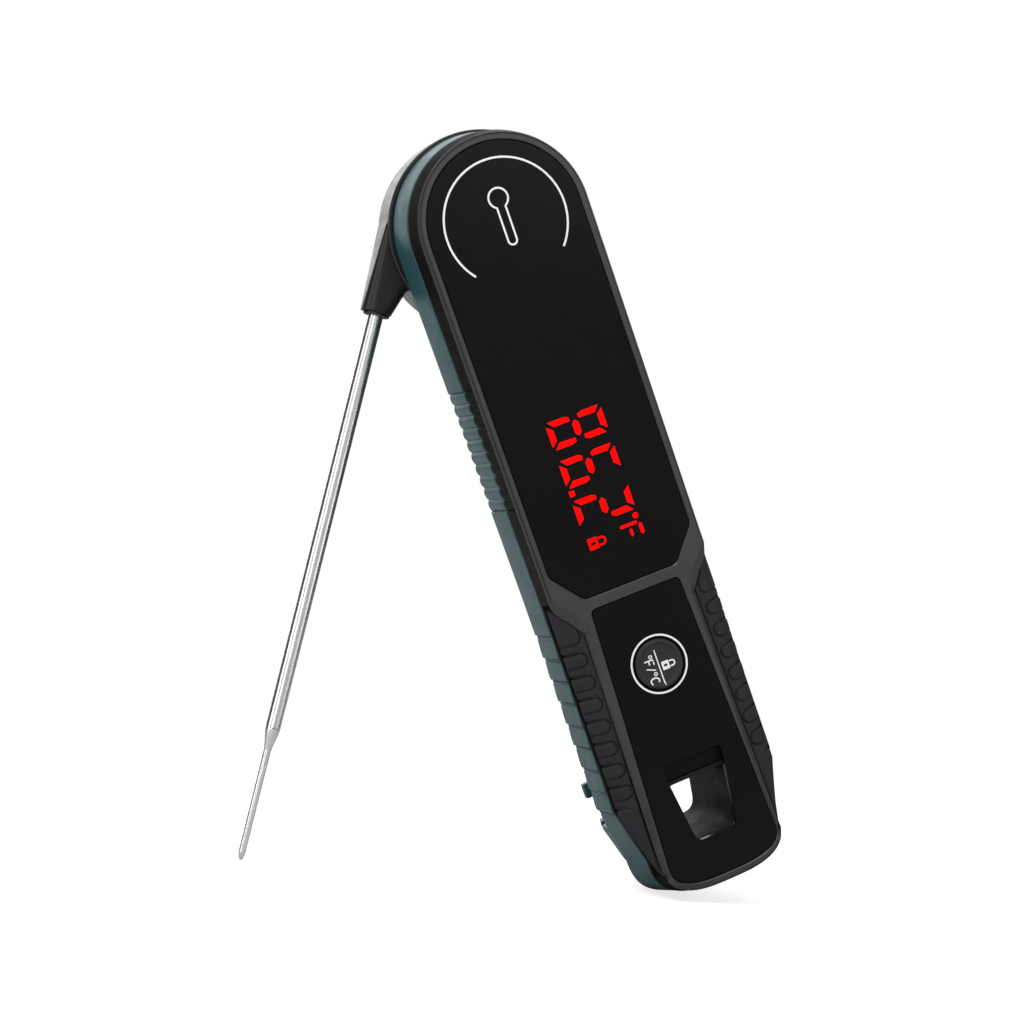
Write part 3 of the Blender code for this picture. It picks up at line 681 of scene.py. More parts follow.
def front_wall_rings():
    """Ribbed wall of the front tray, as (layer, inset, y), laid flat under the grips."""
    wall = [
        (RIM_LAYER, 0.2, 0.85),
        (RIM_LAYER, 0.02, 0.95),
        (SEAM_LAYER, 0.08, 4.5),
        (SEAM_LAYER, 0.0, 5.2),
        (SEAM_LAYER, 0.12, SEAM),
    ]
    seat = body_outline(SEAM_LAYER, 0.12)
    rings = []
    for layer, inset, y in wall:
        ring = []
        for (x, z), (seat_x, _) in zip(body_outline(layer, inset, rib_relief), seat):
            if in_grip_zone(z) and y < GRIP_SEAT:
                ring.append((seat_x * (0.9 + 0.02 * y), GRIP_SEAT, z))
            else:
                ring.append((x, y, z))
        rings.append(ring)
    return rings


def make_front_shell():
    """Black front tray under the frame: ribbed sides, and low seats for the grips."""
    rings = [at_depth(frame_outline(0.12), RECESS_FLOOR)]
    rings.append([(x, GRIP_SEAT if in_grip_zone(z) else 0.85, z) for x, z in frame_outline(0.16)])
    rings += front_wall_rings()
    inner = body_outline(SEAM_LAYER, WALL)
    rings += [at_depth(inner, SEAM), at_depth(inner, FRONT_FLOOR + 1.5)]
    shell = shape("case_front", rings)
    combine(
        shell,
        prism("button_bore", circle(0, BUTTON_Z, BUTTON_RADIUS + GAP), -2, 8),
        prism("hole", hole_outline(LINER_WALL + GAP), -2, 8),
    )
    finish_piece(shell, "black", "body", ["front_shell"])


def teal_rings():
    """Flank of the rear shell from the seam to the ledge round its back, as (inset, y) pairs."""
    profile = [
        (0.35, SEAM + GAP),
        (0.08, SEAM + GAP + 0.12),
        (0.0, SEAM + GAP + 0.4),
        (0.0, 9.5),
        (0.0, FLANK_BACK),
        (0.1, 14.85),
        (0.35, 15.2),
        (0.8, LEDGE - 0.02),
        (1.3, LEDGE),
    ]
    rings = []
    for inset, y in profile:
        share = min(max((y - SEAM) / (FLANK_BACK - SEAM), 0), 1)
        layer = [a + (b - a) * share for a, b in zip(SEAM_LAYER, BACK_LAYER)]
        edge = body_outline(layer, inset, lambda z: rib_relief(z) + shingle_relief(z))
        rings.append(at_depth(edge, y))
    return rings


def spine_solid():
    """Raised flat strip down the back, with a rounded edge."""
    low = FOOT_BLOCK_Z - 4
    middle = (SPINE_TOP_Z + low) / 2
    corners = rounded(rectangle(-SPINE_HALF, low, SPINE_HALF, SPINE_TOP_Z), 2.5)

    def spine(inset):
        scale_x = 1 - inset / SPINE_HALF
        scale_z = 1 - inset / (SPINE_TOP_Z - middle)
        return [(x * scale_x, middle + (z - middle) * scale_z) for x, z in corners]

    rings = [at_depth(spine(0), LEDGE - 1)]
    rings += [at_depth(spine(inset), SPINE_BACK - depth) for inset, depth in reversed(fillet(0.8, 5))]
    return shape("spine", rings)


def foot_block():
    """Block behind the hanging hole, narrower towards its back."""
    left = [(-18.5, FOOT_BLOCK_Z), (-15.9, -138.4), (-13.4, -142.6), (-8.0, -145.2)]
    block = rounded(left + [(-x, z) for x, z in reversed(left)], 0.9, 4)
    rings = [at_depth(block, LEDGE - 1), at_depth(block, 20.4)]
    for inset, depth in reversed(fillet(0.8, 4)):
        share = 1 - inset / 17.0
        y = SPINE_BACK - 0.02 - depth
        middle = FOOT_BLOCK_MIDDLE_Z
        rings.append([(x * 0.92 * share, y, middle + (z - middle) * share) for x, z in block])
    return shape("foot_block", rings)


def rear_cuts():
    """Tools for the openings in the rear shell."""
    slot = rectangle(-30, FOOT_BLOCK_Z + 3, PROBE_X + 1.6, TIP_SLOT_END_Z)
    bay = rectangle(-CELL_BAY_HALF, CELL_BAY[0], CELL_BAY_HALF, CELL_BAY[1])
    cuts = [
        prism("tip_slot", rounded(slot, 0.6), PROBE_Y - 1.5, PROBE_Y + 1.5),
        prism("axle_bore", circle(0, 0, AXLE_RADIUS + GAP), 10, 20),
        prism("cell_bay", bay, LEDGE - 2.6, 30),
        prism("cover_seat", cover_outline(-GAP), SPINE_BACK - 2.9, 30),
        prism("cover_screw_way", circle(0, COVER_SCREW_Z, COVER_SCREW_WAY, 32), 20.4, 30),
        prism("hole", hole_outline(LINER_WALL + GAP), 0, 30),
    ]
    for z in MAGNET_SPOTS:
        cuts.append(prism(f"magnet_pocket_{z}", circle(0, z, MAGNET_RADIUS + GAP), SPINE_BACK - 2.4, 30))
    for index, (x, z) in enumerate(SCREW_SPOTS):
        cuts.append(prism(f"screw_way_{index}", circle(x, z, 1.7, 32), 10, 20))
        cuts.append(prism(f"screw_sink_{index}", circle(x, z, 2.7, 48), LEDGE - 1.1, 20))
    return cuts


def make_rear_shell():
    """Teal rear shell: a deep tray with a raised spine, foot block and ribbed sides."""
    inner = body_outline(SEAM_LAYER, WALL)
    shell = shape("case_rear", [at_depth(inner, INNER_BACK), at_depth(inner, SEAM + GAP)] + teal_rings())
    combine(shell, spine_solid(), foot_block(), operation="UNION")
    combine(shell, *rear_cuts())
    finish_piece(shell, "teal", "body", ["rear_shell"])


def facet_half(z):
    """Half width of the frame's flat front, which steps in above the facet."""
    below = smooth_step(-z, -WAIST_TOP_Z - FACET_DROP, -WAIST_BOTTOM_Z)
    return min(frame_half(z), frame_half(z - FACET_DROP)) - FRONT_INSET - 0.95 * below


def lowered(z):
    """How far the frame's edge has sunk from the bevel's depth to the facet's."""
    end = smooth_step(-z, -GRIP_END_Z - 0.5, -GRIP_END_Z + 3.0)
    return min(max((WAIST_TOP_Z + FACET_DROP - z) / FACET_DROP, 0), 1) * (1 - end)


def foot_sink(z):
    """How much deeper the facet and the grips lie at the foot."""
    return 0.9 * smooth_step(-z, -WAIST_BOTTOM_Z, -FOOT_START_Z)


def frame_edge(layer, inset, y, low_y):
    """A ring of the frame's edge, y deep along the bevel and low_y deep along the facet."""

    def half_at(z):
        if z >= WAIST_TOP_Z:
            return side_half(layer, z) * (1 - lowered(z)) + frame_half(z) * lowered(z)
        widen = (layer[2] - FRAME_LAYER[2]) * smooth_step(-z, -FOOT_START_Z - 6.0, -FOOT_START_Z)
        return frame_half(z) + widen

    edge = outline(half_at, layer, inset)
    return [(x, y + (low_y + foot_sink(z) - y) * lowered(z), z) for x, z in edge]


# Groove, ridge and underside of the frame's edge, as (layer, inset, depth at the bevel, at the facet).
FRAME_EDGE = (
    (FRAME_LAYER, 0.06, 0.36, 1.1),
    (FRAME_LAYER, -0.05, 0.36, 1.2),
    (LIP_LAYER, 0.0, 0.2, 1.25),
    (LIP_LAYER, -0.05, 0.22, 1.27),
    (RIM_LAYER, 0.04, 0.56, 1.3),
    (RIM_LAYER, 0.0, 0.66, 1.33),
    (RIM_LAYER, 0.08, 0.72, 1.36),
    (FRAME_LAYER, -0.08, 0.72, 1.38),
)


def make_frame():
    """Grey frame: flat band, fine groove and bevelled edge, and a broad facet round the waist."""
    fronts = ((0, 0), (-0.08, 0.04))
    rings = [at_depth(outline(facet_half, FACET_LAYER, inset), y) for inset, y in fronts]
    rings += [frame_edge(*row) for row in FRAME_EDGE]
    rings.append(at_depth(frame_outline(-0.05), FRAME_BACK))
    plate = shape("front_frame_band", rings)
    steps = [(0.34, -1), (0.34, -0.02), (GAP - 0.12, 0.16), (GAP - 0.14, 3)]
    cutters = []
    for name, opening in (("window", window_outline), ("panel", lower_panel_outline)):
        cutters.append(shape(f"{name}_cut", [at_depth(opening(grow), y) for grow, y in steps]))
    combine(plate, *cutters)
    finish_piece(plate, "frame", "body", ["front_frame"])


def make_panels():
    """Display window, and the lower panel with its hole and button bore."""

    def bore_outline(grow):
        return circle(0, BUTTON_Z, BUTTON_RADIUS + GAP + grow, 96)

    window = slab("display_glass", lambda inset: window_outline(-inset), PANEL_FRONT, PANEL_BACK, 0.12)
    finish_piece(window, "panel", "body", ["display_window"])
    panel = slab("lower_glass", lambda inset: lower_panel_outline(-inset), PANEL_FRONT, PANEL_BACK, 0.12)
    edge = [(0.14, -1), (0.14, PANEL_FRONT), (0.03, PANEL_FRONT + 0.05)]
    edge += [(0.0, PANEL_FRONT + 0.14), (0.0, 3)]
    hole = shape("hole", [at_depth(panel_hole_outline(grow), y) for grow, y in edge])
    bore = shape("bore", [at_depth(bore_outline(grow), y) for grow, y in edge])
    combine(panel, hole, bore)
    finish_piece(panel, "panel", "body", ["lower_panel"])


# ---- grips


def tongue_height(x, z):
    """Raised tongues with a fine groove round them, open towards the outer edge."""
    nearest = round((TONGUE_TOP_Z - z) / GRIP_PITCH)
    nearest = min(max(nearest, 0), TONGUE_COUNT - 1)
    centre = TONGUE_TOP_Z - nearest * GRIP_PITCH
    radius, round_x = 1.45, 15.5
    if x > round_x:
        distance = abs(z - centre) - radius
    else:
        distance = math.hypot(x - round_x, z - centre) - radius
    raised = 0.12 * (1 - smooth_step(distance, -0.5, -0.05))
    return raised - 0.42 * math.exp(-((distance / 0.17) ** 2))


def grip_section(side, z):
    """Front surface from the frame's edge out to the side of the body, then back round underneath."""
    start = frame_half(z) + GRIP_GAP
    share = max(GRIP_TAPER_Z - z, 0) / (GRIP_TAPER_Z - GRIP_END_Z)
    end = GRIP_OUTER - grip_notch(z) + (start + 0.12 - GRIP_OUTER) * share
    edge = start + (end - start) * 0.5
    points = []
    steps = 34
    for i in range(steps + 1):
        x = start + (end - start) * i / steps
        slope = smooth_step(x, edge - 0.8, edge + 0.8) * max(x - edge, 0) / max(end - edge, 0.1)
        y = 0.95 + foot_sink(z) + (2.2 - 1.2 * share) * slope
        y += 0.35 * math.exp(-(((x - start) / 0.15) ** 2))
        y -= tongue_height(x, z) * smooth_step(x - start, 0.1, 0.5)
        points.append((x, y))
    last = points[-1][1]
    points += [(end + 0.02, last + 0.12), (end, 3.95), (start, 3.95)]
    return [(side * x, y, z) for x, y in points]


def make_grips():
    top_z = WAIST_BOTTOM_Z - GRIP_GAP
    zs = spaced(top_z, GRIP_TAPER_Z, 0.15) + spaced(GRIP_TAPER_Z, GRIP_END_Z, 0.4) + [GRIP_END_Z]
    for side, name in ((-1, "left"), (1, "right")):
        top = []
        section = grip_section(side, top_z)
        start = abs(section[0][0])
        for i in range(16):
            drop = (1 - i / 16) * 7.4 / (GRIP_OUTER - start)
            top.append([(x, y, z + drop * max(abs(x) - start, 0)) for x, y, z in section])
        grip = shape(f"grip_{name}_pad", top + [grip_section(side, z) for z in zs])
        finish_piece(grip, "rubber", "body", [f"grip_{name}"], sharp=50)


# ---- button and markings


def dish(radius):
    """Depth of the button's front at a distance from its centre."""
    return 0.34 - 0.06 * (radius / 4.2) ** 2 - 0.42 * smooth_step(radius, 3.9, 4.6)


def make_button():
    front = [(0.15 + 4.5 * i / 20, dish(0.15 + 4.5 * i / 20)) for i in range(21)]
    rim = [(4.85, -0.13), (5.02, -0.1), (5.18, 0.0), (5.27, 0.16), (BUTTON_RADIUS, 0.4)]
    skirt = [(BUTTON_RADIUS, 3.35), (6.6, 3.35), (6.6, 4.2), (1.6, 4.2), (1.6, 5.2)]
    cap = turned("button_dome", front + rim + skirt, (0, BUTTON_Z), 96)
    finish_piece(cap, "button", "button", ["button_cap"])


def add_mesh(bm, made):
    mesh = bpy.data.meshes.new("stripe")
    made.to_mesh(mesh)
    made.free()
    bm.from_mesh(mesh)
    bpy.data.meshes.remove(mesh)


def add_ribbon(bm, points, width, y_at, closed=False):
    """Adds a thin flat stripe that follows the points and stands just proud of a surface."""
    rings = []
    count = len(points)
    for i, (x, z) in enumerate(points):
        before = points[i - 1] if i or closed else points[0]
        after = points[(i + 1) % count] if i < count - 1 or closed else points[-1]
        along = Vector((after[0] - before[0], after[1] - before[1])).normalized()
        side = Vector((-along.y, along.x)) * width / 2
        outer, inner = (x + side.x, z + side.y), (x - side.x, z - side.y)
        ring = [(px, y_at(px, pz), pz) for px, pz in (outer, inner)]
        ring += [(px, y_at(px, pz) + PRINT_THICKNESS, pz) for px, pz in (inner, outer)]
        rings.append(ring)
    add_mesh(bm, skin(rings, closed))


def add_plate(bm, polygon):
    add_mesh(bm, skin([at_depth(polygon, PRINT_LEVEL), at_depth(polygon, PRINT_LEVEL + PRINT_THICKNESS)]))


def on_panel(x, z):
    """Front of the panel's print, the same everywhere."""
    return PRINT_LEVEL


def on_button(x, z):
    """Front of the button's print, which follows the dished cap."""
    return dish(math.hypot(x, z - BUTTON_Z)) - 0.03


def make_white_print():
    """Arc round the head, ring round the button and the thermometer sign."""
    bm = bmesh.new()
    add_ribbon(bm, arc(0, 0, 13.2, -41, 221, 150), 0.43, on_panel)
    add_ribbon(bm, circle(0, BUTTON_Z, 6.12, 120), 0.4, on_panel, True)
    add_thermometer_icon(bm)
    finish_piece(to_object("panel_print", bm), "white_ink", "body")


def add_thermometer_icon(bm):
    """Plain outline of a bulb and stem, lying along the body like the reading."""
    bulb_z, bulb_radius, stem_half, stem_end = 5.0, 2.1, 0.95, -4.0
    meet = math.degrees(math.asin(stem_half / bulb_radius))
    outline_points = arc(0, bulb_z, bulb_radius, -90 + meet, 270 - meet, 40)
    outline_points += arc(0, stem_end, stem_half, 180, 360, 14)
    add_ribbon(bm, outline_points, 0.4, on_panel, True)


def figure_bars(figure):
    """Bars of a figure as (u, v) outlines, u along the reading and v up. The end bars are mitred."""
    w, h, t = FIGURE_HALF, FIGURE_UP, BAR_WIDTH
    end = [(-w + 0.8, h), (w - 0.8, h), (w - 1.85, h - t), (-w + 1.85, h - t)]
    side = [(w, h - 0.5), (w, 1.95), (w - 0.4, 1.0), (w - t + 0.1, 1.05), (w - t, h - 1.7)]
    bars = {
        "a": end,
        "b": side,
        "c": [(u, -v) for u, v in side],
        "d": [(u, -v) for u, v in end],
        "e": [(-u, -v) for u, v in side],
        "f": [(-u, v) for u, v in side],
        "g": [(-1.75, 0), (-1.05, 0.72), (1.05, 0.72), (1.75, 0), (1.05, -0.72), (-1.05, -0.72)],
    }
    return [bars[key] for key in DIGIT_SEGMENTS[figure]]


def pointed_bar(x, z, length, thick, along_x):
    end, half = length / 2, thick / 2
    points = [(-end, 0), (-end + half, half), (end - half, half)]
    points += [(end, 0), (end - half, -half), (-end + half, -half)]
    if along_x:
        return [(x + u, z + v) for u, v in points]
    return [(x + v, z + u) for u, v in points]


def make_reading():
    """Lit reading, read down the body: tops of the figures towards +x."""
    bm = bmesh.new()
    for figure, centre in FIGURES:
        for bar in figure_bars(figure):
            add_plate(bm, [(READING_X + v, centre - u) for u, v in bar])
    point_x, point_z, half = -5.82, -57.3, 0.6
    add_plate(bm, rectangle(point_x - half, point_z - half, point_x + half, point_z + half))
    add_plate(bm, circle(5.65, -66.25, 0.64, 28))
    add_plate(bm, pointed_bar(3.55, -67.6, 4.1, 0.66, True))
    add_plate(bm, pointed_bar(6.05, -69.15, 2.6, 0.8, False))
    add_plate(bm, pointed_bar(3.7, -69.3, 1.75, 0.62, False))
    add_padlock(bm, (-5.0, -68.6), 1.05, on_panel)
    finish_piece(to_object("lit_reading", bm), "lit", "body")


def add_padlock(bm, centre, size, y_at):
    """Padlock with its shackle towards +x and a dark keyhole."""
    cx, cz = centre
    low, high, half = cx - 0.78 * size, cx + 0.78 * size, 0.98 * size
    add_ribbon(bm, rectangle(low, cz + half, high, cz - half), 0.62 * size, y_at, True)
    for side in (-1, 1):
        bar_z = cz + side * 0.52 * size
        add_ribbon(bm, [(low, bar_z), (high, bar_z)], 0.4 * size, y_at)
    shackle = [(high + 0.45 * size, cz + 0.72 * size)]
    shackle += arc(high + 1.15 * size, cz, 0.72 * size, 90, -90, 16)
    shackle.append((high + 0.45 * size, cz - 0.72 * size))
    add_ribbon(bm, shackle, 0.4 * size, y_at)


def make_button_print():
    """Padlock above a line, and the two temperature units below it."""
    bm = bmesh.new()

    def mark(points, width=BUTTON_PRINT_WIDTH, closed=False):
        add_ribbon(bm, [(v, BUTTON_PRINT_Z - u) for u, v in points], width, on_button, closed)

    mark([(-3.85 + 7.7 * i / 20, -0.13) for i in range(21)], 0.24)
    add_padlock(bm, (1.3, BUTTON_PRINT_Z), 0.78, on_button)
    for start in (-2.75, 1.02):
        mark(circle(start, UNIT_HIGH - 0.32, 0.32, 16), 0.22, True)
    mark([(-2.1, UNIT_LOW), (-2.1, UNIT_HIGH), (-0.95, UNIT_HIGH)])
    middle = (UNIT_LOW + UNIT_HIGH) / 2
    mark([(-2.0, middle), (-1.15, middle)])
    mark([(-0.55, UNIT_LOW), (0.25, UNIT_HIGH)], 0.24)
    bow = [math.radians(50 + 260 * i / 20) for i in range(21)]
    mark([(2.42 + 0.68 * math.cos(a), middle + 0.98 * math.sin(a)) for a in bow])
    finish_piece(to_object("button_print", bm), "white_ink", "button")


# ---- hanging hole and back


def make_liner():
    outer = [(LINER_WALL, 1.65), (LINER_WALL, SPINE_BACK - 0.25), (LINER_WALL - 0.15, SPINE_BACK - 0.1)]
    inner = [(0.25, SPINE_BACK - 0.1), (0.06, SPINE_BACK - 0.3), (0.0, SPINE_BACK - 0.6)]
    inner += [(0.0, SPINE_BACK - 2.0), (0.0, 6.0), (0.0, 3.2), (0.08, 2.3), (0.3, 1.75), (0.5, 1.65)]
    corners = [1.3] * 3 + [3.2] * 5 + [1.5] * 4
    rings = [at_depth(hole_outline(grow, corner), y) for (grow, y), corner in zip(outer + inner, corners)]
    liner = shape("hole_liner", rings, closed=True)
    finish_piece(liner, "liner", "body", ["hanging_hole_liner"])


def make_battery_cover():
    cover = slab("cell_cover", cover_outline, SPINE_BACK - 1.9, SPINE_BACK, 0.15, 0.3)
    cuts = [prism("screw_hole", circle(0, COVER_SCREW_Z, COVER_SCREW_WAY, 48), 20, 30)]
    for i in range(5):
        z = RIDGE_TOP_Z - i * RIDGE_PITCH
        groove = rounded(rectangle(-4.2, z - 0.35, 4.2, z + 0.35), 0.3)
        cuts.append(prism(f"ridge_{i}", groove, SPINE_BACK - 0.35, SPINE_BACK + 2))
    combine(cover, *cuts)
    finish_piece(cover, "teal", "cover", ["battery_cover"])
    spot = (0, COVER_SCREW_Z)
    top, bottom = SPINE_BACK - 0.5, SPINE_BACK - 5.6
    add_screw("cover_screw_head", spot, 1.35, top, bottom, 0.8, "cover", ["cover_screw"])


def add_screw(name, spot, head_radius, top, bottom, shank, body, nodes):
    """A screw with a cross slot in its head."""
    x, z = spot
    profile = [(shank, bottom), (shank, top - 1.0), (head_radius - 0.1, top - 1.0)]
    profile += [(head_radius, top - 0.85), (head_radius, top - 0.3)]
    profile += [(head_radius - 0.12, top - 0.1), (head_radius - 0.4, top)]
    screw = turned(name, profile, spot, 48)
    reach, half = head_radius * 0.6, 0.24
    tools = []
    for tool, (across, up) in (("wide", (reach, half)), ("tall", (half, reach))):
        slot = rounded(rectangle(x - across, z - up, x + across, z + up), 0.1, 3)
        tools.append(prism(tool, slot, top - 0.55, top + 2))
    combine(screw, *tools)
    finish_piece(screw, "steel", body, nodes)


def make_back_hardware():
    for index, spot in enumerate(SCREW_SPOTS, 1):
        nodes = [f"case_screw_{index}"]
        add_screw(f"case_screw_{index}_head", spot, 2.4, LEDGE + 0.1, 6.2, 1.0, "body", nodes)
    for index, z in enumerate(MAGNET_SPOTS, 1):
        profile = [(MAGNET_RADIUS, SPINE_BACK - 2.1), (MAGNET_RADIUS, SPINE_BACK - 0.25)]
        profile += [(MAGNET_RADIUS - 0.07, SPINE_BACK - 0.08), (MAGNET_RADIUS - 0.25, SPINE_BACK)]
        magnet = turned(f"disc_magnet_{index}", profile, (0, z), 72)
        finish_piece(magnet, "nickel", "body", [f"magnet_{index}"])


def make_probe_catch():
    """Small hook beside the spine that holds the folded probe."""
    root, mid_x, mid_y = -SPINE_HALF - GAP, -14.6, 24.1
    hook = rounded([(root, 22.9), (-18.6, 22.9), (-18.6, 24.4), (-17.0, 25.3), (root, 25.3)], 0.3, 4)
    edge = fillet(0.35)
    rings = []
    for inset, depth in edge + [(i, CATCH_LENGTH - d) for i, d in reversed(edge)]:
        along, up = 1 - inset / 4.0, 1 - inset / 2.0
        z = CATCH_Z + depth
        rings.append([(mid_x + (x - mid_x) * along, mid_y + (y - mid_y) * up, z) for x, y in hook])
    finish_piece(shape("probe_catch", rings), "teal", "body", ["probe_clip"])


# ---- probe


def nose_section(z, left, right, front, back, corner):
    return [(x, y, z) for x, y in rounded(rectangle(left, front, right, back), corner, 10)]


def hub_nose():
    """Tapering nose from the hub down to the probe, each end as (front, back, right, corner)."""
    top = (HUB_FRONT + 0.15, HUB_BACK - 0.2, -8.0, 0.7)
    end = (18.6, 24.8, -14.2, 3.0)
    sections = []
    for i in range(13):
        share = i / 12
        front, back, right, corner = [a + (b - a) * share for a, b in zip(top, end)]
        z = NOSE_START_Z + (NOSE_END_Z + 0.25 - NOSE_START_Z) * share
        sections.append(nose_section(z, NOSE_LEFT, right, front, back, corner))
    front, back, right, corner = end
    for inset, depth in reversed(fillet(0.25)):
        sides = (NOSE_LEFT + inset, right - inset, front + inset, back - inset)
        sections.append(nose_section(NOSE_END_Z + depth, *sides, corner - inset))
    return shape("nose", sections)


def make_hub():
    """Hub disc with its nose, and the ways for its cap, the axle and the tube."""
    front_edge = [(HUB_RADIUS - inset, HUB_FRONT + depth) for inset, depth in fillet(0.4, 5)]
    back_edge = [(HUB_RADIUS - inset, HUB_BACK - depth) for inset, depth in reversed(fillet(1.3, 8))]
    hub = turned("hub_disc", [(3.0, HUB_FRONT)] + front_edge + back_edge + [(3.0, HUB_BACK)], steps=160)
    combine(hub, hub_nose(), operation="UNION")
    tube_way = [(TUBE_RADIUS + GAP, -40), (TUBE_RADIUS + GAP, -9.4)]
    combine(
        hub,
        turned("pocket", [(14.7, 18.6), (14.7, 30)], steps=96),
        turned("axle_way", [(AXLE_RADIUS + GAP, 10), (AXLE_RADIUS + GAP, 20)], steps=64),
        turned("tube_way", tube_way, (PROBE_X, PROBE_Y), 48, along_z=True),
    )
    finish_piece(hub, "hub", "probe", ["probe_hub"])


def make_hub_cap():
    """Cap set in the hub's back, with a ring groove; its depths are measured from the hub's back."""
    cap = [(3.0, 2.0), (14.35, 2.0), (14.35, 0.6), (14.2, 0.3), (13.9, 0.2), (11.0, 0.2)]
    cap += [(10.8, 0.4), (10.4, 0.4), (10.2, 0.2), (3.0, 0.2)]
    profile = [(radius, HUB_BACK - depth) for radius, depth in cap]
    finish_piece(turned("hub_cap", profile, steps=120), "hub", "probe", ["hub_cover"])


def make_probe_tube():
    profile = [(1.1, -12.8), (TUBE_RADIUS, -12.8), (TUBE_RADIUS, NECK_Z - 0.5), (1.1, NECK_Z - 0.6)]
    tube = turned("probe_shaft", profile, (PROBE_X, PROBE_Y), 64, bore=True, along_z=True)
    finish_piece(tube, "steel_probe", "probe", ["probe_tube"])


def make_probe_tip():
    """Plug in the tube's end, smooth shoulder and thin rounded tip."""
    top, shoulder = NECK_Z - 0.62, NECK_Z - 0.66
    profile = [(0.2, NECK_Z + 2.0), (0.8, NECK_Z + 2.0), (0.8, top), (TUBE_RADIUS - 0.03, top)]
    for i in range(17):
        share = i / 16
        eased = smooth_step(share, 0, 1) * 0.4 + share * 0.6
        radius = TUBE_RADIUS + (THIN_RADIUS - TUBE_RADIUS) * eased
        profile.append((radius, shoulder + (THIN_Z - shoulder) * share))
    profile += [(THIN_RADIUS, TIP_Z + 1.6), (0.7, TIP_Z + 1.1), (0.5, TIP_Z + 0.35)]
    profile += [(0.3, TIP_Z + 0.08), (0.12, TIP_Z)]
    tip = turned("probe_point", profile, (PROBE_X, PROBE_Y), 48, along_z=True)
    finish_piece(tip, "steel_probe", "probe", ["probe_tip"])


def make_probe_collar():
    bore = TUBE_RADIUS + 0.1
    ring = [(bore, 0.05), (2.8, 0.05), (2.85, 0.12), (2.82, 0.45), (2.6, 0.6), (bore, 0.62)]
    profile = [(radius, NOSE_END_Z - below) for radius, below in ring]
    collar = turned("probe_ring", profile, (PROBE_X, PROBE_Y), 64, bore=True, along_z=True)
    finish_piece(collar, "hub", "probe", ["probe_collar"])


# Inner solids that are shown as they are, by the finish they get.
KEPT = {
    "seal": ["case_gasket", "cover_seal", "button_seal", "pivot_o_ring"],
    "cell": ["battery_cell"],
    "nickel": ["battery_contact", "battery_spring", "wake_magnet"],
    "board": ["circuit_board"],
    "display": ["display_module"],
    "steel": ["dome_switch", "pivot_axle", "retaining_clip", "friction_spring"],
    "glass": ["reed_switch", "sensor_bead"],
    "wire": ["sensor_lead"],
}


def dress_kept_nodes():
    for finish, names in KEPT.items():
        for name in names:
            dress(frame["nodes"][name], finish)


# ---- stage


def make_floor(level):
    """Pale floor that fades out with distance, a little brighter to the eye than in reflections."""
    bm = bmesh.new()
    bmesh.ops.create_circle(bm, cap_ends=True, segments=96, radius=0.9)
    floor = to_object("floor", bm)
    floor.location = (0, 0, level)
    nodes = Nodes("pale_floor")
    nodes.tint(nodes.noise(6, 4), (0.47, 0.47, 0.47), (0.51, 0.51, 0.51))
    seen = nodes.add("ShaderNodeMath", operation="MULTIPLY")
    nodes.link(nodes.add("ShaderNodeLightPath").outputs["Is Camera Ray"], seen.inputs[0])
    seen.inputs[1].default_value = FLOOR_GLOW
    nodes.fix("Emission Color", (1, 1, 1, 1))
    nodes.link(seen.outputs[0], nodes.shader.inputs["Emission Strength"])
    nodes.fix("Roughness", 0.7)
    nodes.fix("Specular IOR Level", 0.1)
    length = nodes.add("ShaderNodeVectorMath", operation="LENGTH")
    nodes.link(nodes.place, length.inputs[0])
    fade = nodes.add("ShaderNodeMapRange", interpolation_type="SMOOTHSTEP")
    set_range(fade, 0.08, 0.5, 1.0, 0.0)
    nodes.link(length.outputs["Value"], fade.inputs["Value"])
    nodes.link(fade.outputs["Result"], nodes.shader.inputs["Alpha"])
    floor.data.materials.append(nodes.material)


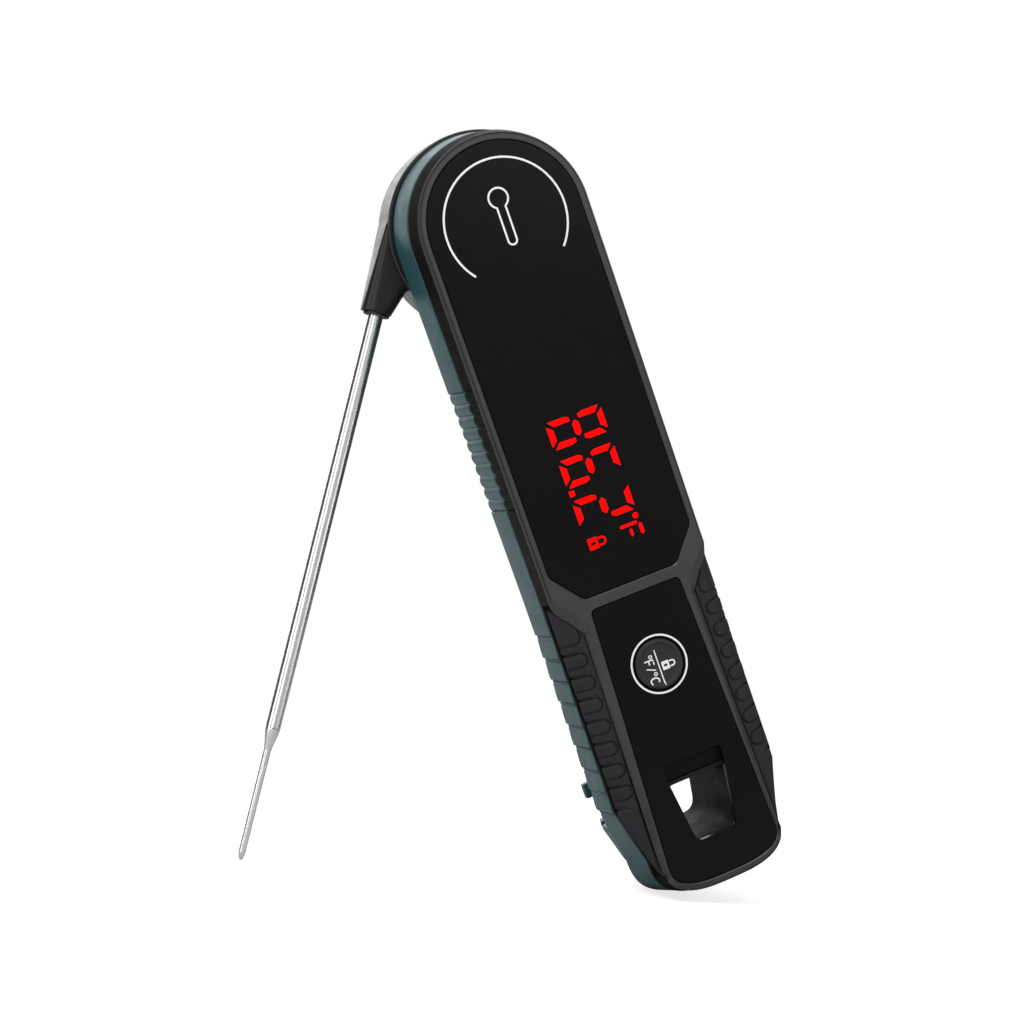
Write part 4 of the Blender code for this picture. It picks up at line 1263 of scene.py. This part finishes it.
def make_lights():
    for name, place, width, height, power in SOFTBOXES:
        light = bpy.data.lights.new(name, "AREA")
        light.shape = "RECTANGLE"
        light.size = width
        light.size_y = height
        light.energy = power
        lamp = add_object(name, light)
        lamp.location = place
        lamp.rotation_euler = (Vector(BODY_MIDDLE) - Vector(place)).to_track_quat("-Z", "Y").to_euler()
        lamp.visible_camera = False


def make_world():
    """White for the camera, and around the object a dim light, darker behind it."""
    world = bpy.data.worlds.new("studio")
    bpy.context.scene.world = world
    world.use_nodes = True
    world.node_tree.nodes.clear()
    new, link = world.node_tree.nodes.new, world.node_tree.links.new
    path = new("ShaderNodeLightPath")
    mix = new("ShaderNodeMixShader")
    output = new("ShaderNodeOutputWorld")
    around = new("ShaderNodeBackground")
    seen = new("ShaderNodeBackground")
    for background in (around, seen):
        background.inputs["Color"].default_value = (1, 1, 1, 1)
    direction = new("ShaderNodeTexCoord")
    split = new("ShaderNodeSeparateXYZ")
    ramp = new("ShaderNodeMapRange")
    ramp.interpolation_type = "SMOOTHSTEP"
    set_range(ramp, -0.35, 0.25, 0.5, 0.05)
    link(direction.outputs["Generated"], split.inputs[0])
    link(split.outputs["Y"], ramp.inputs["Value"])
    link(ramp.outputs["Result"], around.inputs["Strength"])
    link(path.outputs["Is Camera Ray"], mix.inputs[0])
    link(around.outputs[0], mix.inputs[1])
    link(seen.outputs[0], mix.inputs[2])
    link(mix.outputs[0], output.inputs["Surface"])


def make_camera():
    camera = bpy.data.cameras.new("photo_angle")
    camera.lens = CAMERA_LENS
    camera.sensor_width = 36
    camera.clip_start = 0.01
    obj = add_object("photo_angle", camera)
    view = Vector(CAMERA_TARGET) - Vector(CAMERA_PLACE)
    turn = view.to_track_quat("-Z", "Y").to_matrix().to_4x4() @ Matrix.Rotation(CAMERA_ROLL, 4, "Z")
    obj.matrix_world = Matrix.Translation(CAMERA_PLACE) @ turn
    bpy.context.scene.camera = obj


make_camera()
make_front_shell()
make_rear_shell()
make_frame()
make_panels()
make_grips()
make_button()
make_white_print()
make_reading()
make_button_print()
make_liner()
make_battery_cover()
make_back_hardware()
make_probe_catch()
make_hub()
make_hub_cap()
make_probe_tube()
make_probe_tip()
make_probe_collar()
dress_kept_nodes()
make_floor(CAD_BOX[0][2])
make_lights()
make_world()
bpy.context.scene.view_settings.view_transform = "Standard"
